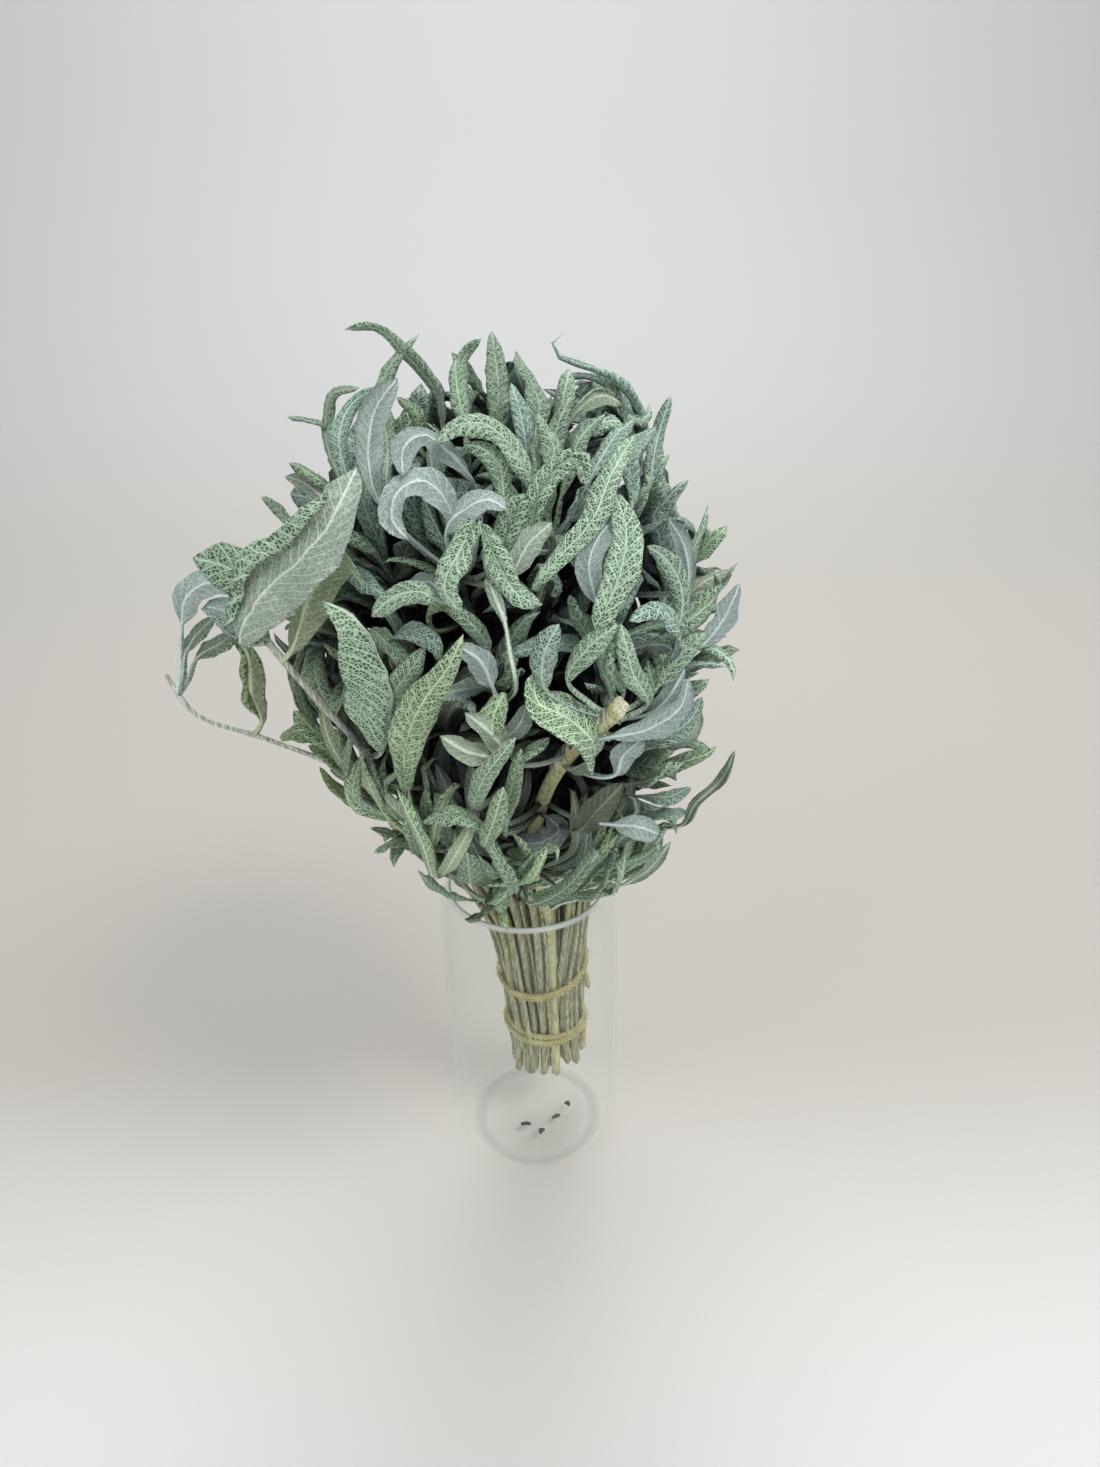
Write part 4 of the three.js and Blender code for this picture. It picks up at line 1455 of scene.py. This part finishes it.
def grow_outer_leaves(places, crowd, rng):
    """Grows the outermost leaves. The broader ones are left as wide and as flat as they are given."""
    broad, flat_roll = 16, 0.75
    for points, width, face, roll, warm, light, *own in OUTER_LEAVES:
        points = [Vector(p) for p in points]
        sprig, along, root = nearest_stem(places, points[0])
        rise = points[0] - root
        knee = root + rise * 0.5 + UP * -0.08 * rise.length
        route = (root, knee, *points) if rise.length > 9 else (root, *points)
        blade = sum((b - a).length for a, b in zip(points, points[1:]))
        shape = {"fold": rng.uniform(0.1, 0.5), "wave": rng.uniform(0.4, 1.1), "phase": rng.uniform(0, 6.28)}
        shape.update(*own)
        buried = shape.pop("buried", False)
        long_stalk = "stalk" in shape
        stalk = shape.pop("stalk", rise.length / (rise.length + blade))
        crumple = 0.5 + 0.04 * width
        if width < broad and roll > flat_roll:
            width *= 0.84
            roll = roll * 1.15 + 0.35
        leaf = Leaf(
            root, rise, Vector(face), 1.0, width, stalk, roll=roll, warm=warm, light=light, crumple=crumple,
            rows=26, columns=HALF_COLUMNS, route=route, **shape,
        ).grow()
        if buried:
            crowd.add(*crowd.leaf_tree(leaf))
        else:
            keep_in_sight(crowd, leaf)
        if long_stalk:
            keep_stem_in_sight(crowd, Line(route, ROUTE_SAMPLES), lambda rise: 1.2, (0, 4, 8, 12, 17))
        sprig.bear(leaf, along)


@lru_cache(maxsize=1)
def grown_bunch():
    """Every sprig by name, with all its leaves: the outermost first, then the rest keeping clear of them."""
    rng = random.Random(settings("sage_leaf").seed)
    crowd = Crowd()
    sprigs = plan_sprigs()
    for sprig in sprigs:
        crowd.add(*stem_tree(sprig.line, sprig.half))
    places = stem_places(sprigs)
    grow_outer_leaves(places, crowd, rng)
    stalk = next(s for s in sprigs if s.name == "cut_stalk")
    keep_stem_in_sight(crowd, stalk.line, stalk.half, (3, 6, 9, 12, 16, 20, 25))
    for sprig in sprigs:
        if sprig.name in ("sprig_left_branch", "sprig_left_droop"):
            for along in (0.62, 0.7, 0.78, 0.86):
                for side in (0, 1):
                    grow_small(sprig, crowd, rng, along, side * math.pi + rng.uniform(0, 1.5))
    upright = [sprig for sprig in sprigs if sprig.name not in OWN_NAMES]
    for sprig in upright:
        grow_tuft(sprig, crowd, rng)
    places = stem_places(upright)
    grow_surface_leaves(places, crowd, rng, 700, depth=(0.84, 0.99), length=(20, 42), width=(4.8, 8.6))
    grow_surface_leaves(places, crowd, rng, 480, depth=(0.66, 0.88), length=(22, 44), width=(5.0, 9.5))
    for sprig in reversed(upright):
        grow_sprig(sprig, crowd, rng)
    return {sprig.name: sprig for sprig in sprigs}


@lru_cache(maxsize=1)
def looks():
    """The materials of the leaves, the stems, the cut stalk and its torn bark."""
    return (
        leaf_material(),
        stem_material("sage_stem", (0.31, 0.30, 0.15), (0.40, 0.45, 0.34), (0.62, 0.62, 0.41)),
        stem_material("sage_stalk", (0.5, 0.5, 0.25), (0.4, 0.43, 0.13), (0.72, 0.7, 0.44), 0.24, crown_unshaded=True),
        stem_material("torn_bark", (0.13, 0.09, 0.05), (0.15, 0.10, 0.06), (0.34, 0.26, 0.17), crown_unshaded=True),
    )


def side_shoot(sprig, rng):
    """The line of a thin shoot that forks off the stem near its foot and runs up beside it."""
    reach, turn = rng.uniform(2.6, 3.6), rng.uniform(0, math.tau)
    points = [sprig.line.at(rng.uniform(0.0, 0.05))]
    for share in (0.1, 0.22, 0.34, 0.5):
        turn += rng.uniform(-0.5, 0.5)
        off = Vector((math.cos(turn), math.sin(turn), 0)) * reach
        points.append(sprig.line.at(share) + off)
    return Line(points, 40)


def sprig_mesh(sprig, rng):
    bm = bmesh.new()
    ready_leaf_layers(bm)
    joints = sorted(set(round(j, 2) for j in sprig.joints))
    add_stem(bm, sprig.line, sprig.half, joints, rng)
    for _ in range(3):
        thin = rng.uniform(0.8, 1.4)
        add_stem(bm, side_shoot(sprig, rng), lambda rise, thin=thin: mix(thin, 0.8, rise), (), rng)
    for face in bm.faces:
        face.material_index = 1
    for leaf in sprig.leaves:
        add_leaf(bm, leaf)
    return bm


def make_sprig(name):
    """Turns a grown sprig into one piece."""
    sprig = grown_bunch()[name]
    bm = sprig_mesh(sprig, random.Random(sprig.index))
    return finish_piece(bm, name + "_dried", looks()[:2], [name])


def make_upright_sprigs():
    for name in grown_bunch():
        if name not in OWN_NAMES:
            make_sprig(name)


def make_cut_stalk():
    """The thick woody stalk, cut off at the top: pale pith in its end and a torn strip of bark."""
    sprig = grown_bunch()["cut_stalk"]
    bm = bmesh.new()
    ready_leaf_layers(bm)
    rng = random.Random(5)
    stem = add_stem(bm, sprig.line, sprig.half, (0.3, 0.55), rng, cut=(0.25, 0.18), columns=20, knobbly=0.015)
    for face in stem:
        face.material_index = 1
    end = sprig.line.at(1.0)
    cap = min((f for f in stem if len(f.verts) > 6), key=lambda f: (f.calc_center_median() - end).length)
    bmesh.ops.inset_individual(bm, faces=[cap], thickness=0.45, depth=0.15)
    cap.material_index = 2
    cap.smooth = False
    line = sprig.line

    def bark(turn, rise):
        share = mix(0.83, 0.995, rise)
        point, tangent = line.at(share), line.tangent(share)
        out = Vector((-0.75, -0.35, 0.5))
        out = (out - tangent * out.dot(tangent)).normalized()
        side = tangent.cross(out)
        wide = 1.9 * math.sqrt(max(0.0, 1 - (2 * rise - 1) ** 6)) * (1 + 0.25 * math.sin(rise * 31))
        angle = turn * math.tau
        lift = sprig.half(share) * 0.88 + 0.5 * smooth_step(0.85, 1.0, rise)
        round_off = wide * math.cos(angle)
        return point + side * round_off + out * (lift + 0.32 * math.sin(angle) - round_off**2 * 0.12)

    for face in wrapped_tube(bm, 10, 14, bark):
        face.material_index = 3
    for leaf in sprig.leaves:
        add_leaf(bm, leaf)
    leaf_look, _, stalk_look, bark_look = looks()
    return finish_piece(
        bm, "cut_stalk_dried", [leaf_look, stalk_look, pith_material(), bark_look], ["cut_stalk"]
    )


# ---- The string ----


def string_line():
    """The string's route: a short end, turns at the lower tie, a run up the left side, one slanting turn
    higher up and another short end."""
    s, b = settings("sage_string"), settings("sage_bunch")
    per_turn = 16
    points = []

    def at(turns, z, lift=0.0):
        reach = bundle_radius(z) * squeeze(z) + STEM_REACH + s.radius + lift
        angle = turns * math.tau
        points.append(middle_at(z) + Vector((reach * math.cos(angle), reach * math.sin(angle), 0)))

    def turn_z(turns):
        """The turns lie close at the right and spread apart at the left."""
        apart = (1 - math.cos(turns * math.tau)) / 2
        return b.tie_z - 2.5 + turns * (s.pitch + 1.6 * apart)

    at(-0.1, turn_z(0) - 6, 3.0)
    for i in range(int(s.turns * per_turn)):
        turns = i / per_turn
        at(turns, turn_z(turns), 1.1 * (math.floor(turns) % 2))
    rise = 8
    for i in range(rise):
        turns = s.turns + 0.14 * i / rise
        at(turns, mix(turn_z(s.turns), b.upper_tie_z + 2, smooth_step(0, 1, i / rise)))
    for i in range(per_turn + 7):
        turns = s.turns + 0.14 + i / per_turn
        tilt = 4.8 * math.cos(turns * math.tau - 0.9)
        at(turns, b.upper_tie_z - 1.5 + tilt + 2.4 * i / per_turn, 0.8 * i / per_turn)
    at(turns + 0.03, b.upper_tie_z - 9, 2.5)
    return Line(points)


def add_ply(bm, frames, length, radius, offset, twist, phase):
    """One ply of the string: a thin tube wound round the string's own line."""
    count = len(frames) - 1

    def place(turn, rise):
        point, tangent, east, north = frames[round(rise * count)]
        wind = rise * length / twist * math.tau + phase
        axis = swing(east, north, wind)
        side = tangent.cross(axis)
        angle = turn * math.tau
        return point + axis * (offset + radius * math.cos(angle)) + side * radius * math.sin(angle)

    wrapped_tube(bm, 6, count, place, lambda turn, rise: (turn * math.tau * radius, rise * length))


def add_fibre(bm, root, along, out, rng):
    """A loose fibre that stands off the string."""
    length, thin = rng.uniform(2.0, 6.0), 0.13
    droop = rng.uniform(-0.4, 0.3)
    ahead = along * rng.choice((-1, 1)) * rng.uniform(0.6, 1.2)
    side = along.cross(out)

    def place(turn, rise):
        bend = out * (0.9 * rise) * length * 0.6 + ahead * rise * length * 0.6
        bend += UP * droop * rise * rise * length
        return root + bend + swing(side, out.cross(side), turn * math.tau) * thin * (1 - 0.7 * rise)

    wrapped_tube(bm, 3, 4, place)


def make_string():
    """The twisted string, with loose fibres all along it."""
    s = settings("sage_string")
    plies, fibres, step = 3, 150, 0.75
    line = string_line()
    count = int(line.length / step)
    frames = carried_frames(line, count)
    bm = bmesh.new()
    bm.loops.layers.uv.new("string_mm")
    for ply in range(plies):
        add_ply(bm, frames, line.length, s.radius * 0.52, s.radius * 0.5, s.twist, ply * math.tau / plies)
    rng = random.Random(23)
    for _ in range(fibres):
        point, tangent, east, north = frames[rng.randrange(count)]
        out = swing(east, north, rng.uniform(0, math.tau))
        add_fibre(bm, point + out * s.radius * 0.8, tangent, out, rng)
    return finish_piece(bm, "twisted_tie_string", string_material(), ["tie_string"])


# ---- Fallen bits ----

FALLEN_BITS = (
    {"at": (-5, -11), "length": 5.0, "width": 2.4, "heading": 0.2},
    {"at": (2, -15), "length": 3.4, "width": 3.0, "heading": 1.2},
    {"at": (9, -7), "length": 4.6, "width": 2.6, "heading": 0.6},
    {"at": (14, 0), "length": 3.0, "width": 2.6, "heading": 2.2},
)


def make_fallen_bits():
    rng = random.Random(91)
    for i, bit in enumerate(FALLEN_BITS):
        bm = bmesh.new()
        ready_leaf_layers(bm)
        ahead = Vector((math.cos(bit["heading"]), math.sin(bit["heading"]), 0))
        z = settings("sage_glass").floor + 0.9
        root = Vector((*bit["at"], z)) - ahead * bit["length"] / 2
        leaf = Leaf(
            root, ahead, UP, bit["length"], bit["width"], stalk=0.05, arch=0.5, fold=0.3, roll=0.8,
            rows=8, columns=SMALL_COLUMNS, light=rng.uniform(-0.9, -0.6), warm=0.7,
        )
        add_leaf(bm, leaf.grow())
        finish_piece(bm, f"dried_leaf_crumb_{i + 1}", looks()[0], [f"fallen_leaf_bit_{i + 1}"])


# ---- Stage, in metres ----

BUNCH = (0, 0, 0.18)  # what most of the lamps look at
LAMPS = (
    # name, place, width, power, tint, what it looks at
    ("key_light", (0.6, -0.5, 1.2), 0.42, 5.6, (1.0, 0.985, 0.96), BUNCH),
    ("fill_light", (-0.8, -0.75, 1.0), 0.6, 1.5, (1.0, 0.93, 0.86), BUNCH),
    ("back_light", (0.2, 0.9, 1.3), 0.7, 2.6, (0.93, 0.97, 1.0), BUNCH),
    ("sweep_light", (0, 0.8, 2.1), 1.2, 23.0, (0.95, 0.985, 1.0), (0, 2.0, 0.9)),
    ("front_light", (0.1, -1.0, 0.9), 0.7, 2.2, (1.0, 1.0, 1.0), (0, -0.3, 0.1)),
)
CAMERA_PLACE = (0.0109, -0.3229, 0.36955)
CAMERA_DOWN, CAMERA_ROLL = math.radians(27.45), math.radians(-1.62)
CAMERA_LENS = 23.704  # for a sensor of 36


def link(thing):
    bpy.context.scene.collection.objects.link(thing)
    return thing


def paper_material():
    """Pale paper with painted light and shade: lightest in front of the glass, darker under and behind it,
    and paler again far away.
    """
    n = Nodes("pale_paper")
    place = n.place()
    away = n.node("SeparateXYZ", Vector=place).outputs["Y"]
    # Painted shade under and behind the glass, with painted light in front of it and on the far wall.
    near = n.blend(n.step(away, -0.16, 0.06), (0.83, 0.82, 0.80), (0.60, 0.565, 0.517))
    far = n.blend(n.step(away, 0.7, 1.9), near, (0.70, 0.70, 0.69))
    tone = n.blend(n.noise(place, 700.0, 3.0), far, n.tinted(far, (1.03, 1.03, 1.03)))
    return n.surface(n.principled(Base_Color=tone, Roughness=0.9))


def make_sweep():
    """The paper: flat, then bent up into a wall behind."""
    front, bend_from, radius, wide, tall = -1.6, 1.1, 0.9, 6.0, 2.6
    flat = bend_from - front
    quarter = radius * math.pi / 2
    bm = bmesh.new()
    for v in bmesh.ops.create_grid(bm, x_segments=4, y_segments=48, size=0.5)["verts"]:
        run = (v.co.y + 0.5) * (flat + quarter + tall)
        x = v.co.x * wide
        if run < flat:
            v.co = (x, front + run, 0)
        elif run < flat + quarter:
            a = (run - flat) / radius
            v.co = (x, bend_from + radius * math.sin(a), radius * (1 - math.cos(a)))
        else:
            v.co = (x, bend_from + radius, radius + run - flat - quarter)
    for face in bm.faces:
        face.smooth = True
    mesh = bpy.data.meshes.new("paper_sweep")
    bm.to_mesh(mesh)
    bm.free()
    mesh.materials.append(paper_material())
    link(bpy.data.objects.new("paper_sweep", mesh))


def make_stage():
    """A pale sweep of paper, soft lights and the camera."""
    make_sweep()
    scene = bpy.context.scene
    scene.world = bpy.data.worlds.new("soft_room")
    scene.world.use_nodes = True
    background = scene.world.node_tree.nodes["Background"].inputs
    background["Color"].default_value = (0.93, 0.965, 1.0, 1)
    background["Strength"].default_value = 0.42
    for name, place, width, power, lamp_tint, target in LAMPS:
        lamp = bpy.data.lights.new(name, "AREA")
        lamp.shape = "DISK"
        lamp.size, lamp.energy, lamp.color = width, power, lamp_tint
        way = (Vector(target) - Vector(place)).to_track_quat("-Z", "Y").to_matrix().to_4x4()
        link(bpy.data.objects.new(name, lamp)).matrix_world = Matrix.Translation(place) @ way
    lens = bpy.data.cameras.new("camera")
    lens.lens, lens.sensor_width, lens.clip_start = CAMERA_LENS, 36, 0.01
    scene.camera = link(bpy.data.objects.new("camera", lens))
    turned = Matrix.Rotation(math.pi / 2 - CAMERA_DOWN, 4, "X") @ Matrix.Rotation(CAMERA_ROLL, 4, "Z")
    scene.camera.matrix_world = Matrix.Translation(CAMERA_PLACE) @ turned
    scene.view_settings.view_transform = "Standard"


# ---- Operators and panel ----


class MakesPieces:
    """What the operators share: each runs the function that makes its pieces."""

    def execute(self, context):
        self.make()
        return {"FINISHED"}


class SAGE_OT_stage(MakesPieces, bpy.types.Operator):
    """Makes the paper sweep, the lights and the camera."""

    bl_idname = "sage.stage"
    bl_label = "Stage"
    make = staticmethod(make_stage)


class SAGE_OT_glass(MakesPieces, bpy.types.Operator):
    """Makes the drinking glass that holds the bunch."""

    bl_idname = "sage.glass"
    bl_label = "Glass"
    make = staticmethod(make_glass)


class SAGE_OT_sprigs(MakesPieces, bpy.types.Operator):
    """Makes every upright sprig of the bunch, each as one piece."""

    bl_idname = "sage.sprigs"
    bl_label = "Upright sprigs"
    make = staticmethod(make_upright_sprigs)


class SAGE_OT_left_branch(MakesPieces, bpy.types.Operator):
    """Makes the sprig that leans out to the left with the broadest leaves."""

    bl_idname = "sage.left_branch"
    bl_label = "Left branch"
    make = partial(make_sprig, "sprig_left_branch")


class SAGE_OT_left_droop(MakesPieces, bpy.types.Operator):
    """Makes the thin sprig that droops to the left and turns up."""

    bl_idname = "sage.left_droop"
    bl_label = "Left drooping sprig"
    make = partial(make_sprig, "sprig_left_droop")


class SAGE_OT_cut_stalk(MakesPieces, bpy.types.Operator):
    """Makes the cut woody stalk at the front."""

    bl_idname = "sage.cut_stalk"
    bl_label = "Cut stalk"
    make = staticmethod(make_cut_stalk)


class SAGE_OT_string(MakesPieces, bpy.types.Operator):
    """Makes the string that ties the bunch."""

    bl_idname = "sage.string"
    bl_label = "Tie string"
    make = staticmethod(make_string)


class SAGE_OT_fallen_bits(MakesPieces, bpy.types.Operator):
    """Makes the crumbs of leaf on the glass's floor."""

    bl_idname = "sage.fallen_bits"
    bl_label = "Fallen bits"
    make = staticmethod(make_fallen_bits)


class SAGE_PT_panel(bpy.types.Panel):
    """Lists the pieces of the bunch."""

    bl_idname = "SAGE_PT_panel"
    bl_label = "Dried sage bunch"
    bl_space_type = "VIEW_3D"
    bl_region_type = "UI"
    bl_category = "Sage"

    def draw(self, context):
        for operator in OPERATORS:
            self.layout.operator(operator.bl_idname)


OPERATORS = (
    SAGE_OT_stage,
    SAGE_OT_glass,
    SAGE_OT_sprigs,
    SAGE_OT_left_branch,
    SAGE_OT_left_droop,
    SAGE_OT_cut_stalk,
    SAGE_OT_string,
    SAGE_OT_fallen_bits,
)


def register():
    for name, group in SETTINGS.items():
        bpy.utils.register_class(group)
        setattr(bpy.types.Scene, name, PointerProperty(type=group))
    for operator in OPERATORS:
        bpy.utils.register_class(operator)
    bpy.utils.register_class(SAGE_PT_panel)


def unregister():
    bpy.utils.unregister_class(SAGE_PT_panel)
    for operator in reversed(OPERATORS):
        bpy.utils.unregister_class(operator)
    for name, group in SETTINGS.items():
        delattr(bpy.types.Scene, name)
        bpy.utils.unregister_class(group)


def main():
    register()
    bpy.ops.sage.stage()
    bpy.ops.sage.glass()
    bpy.ops.sage.sprigs()
    bpy.ops.sage.left_branch()
    bpy.ops.sage.left_droop()
    bpy.ops.sage.cut_stalk()
    bpy.ops.sage.string()
    bpy.ops.sage.fallen_bits()


if __name__ == "__main__":
    main()
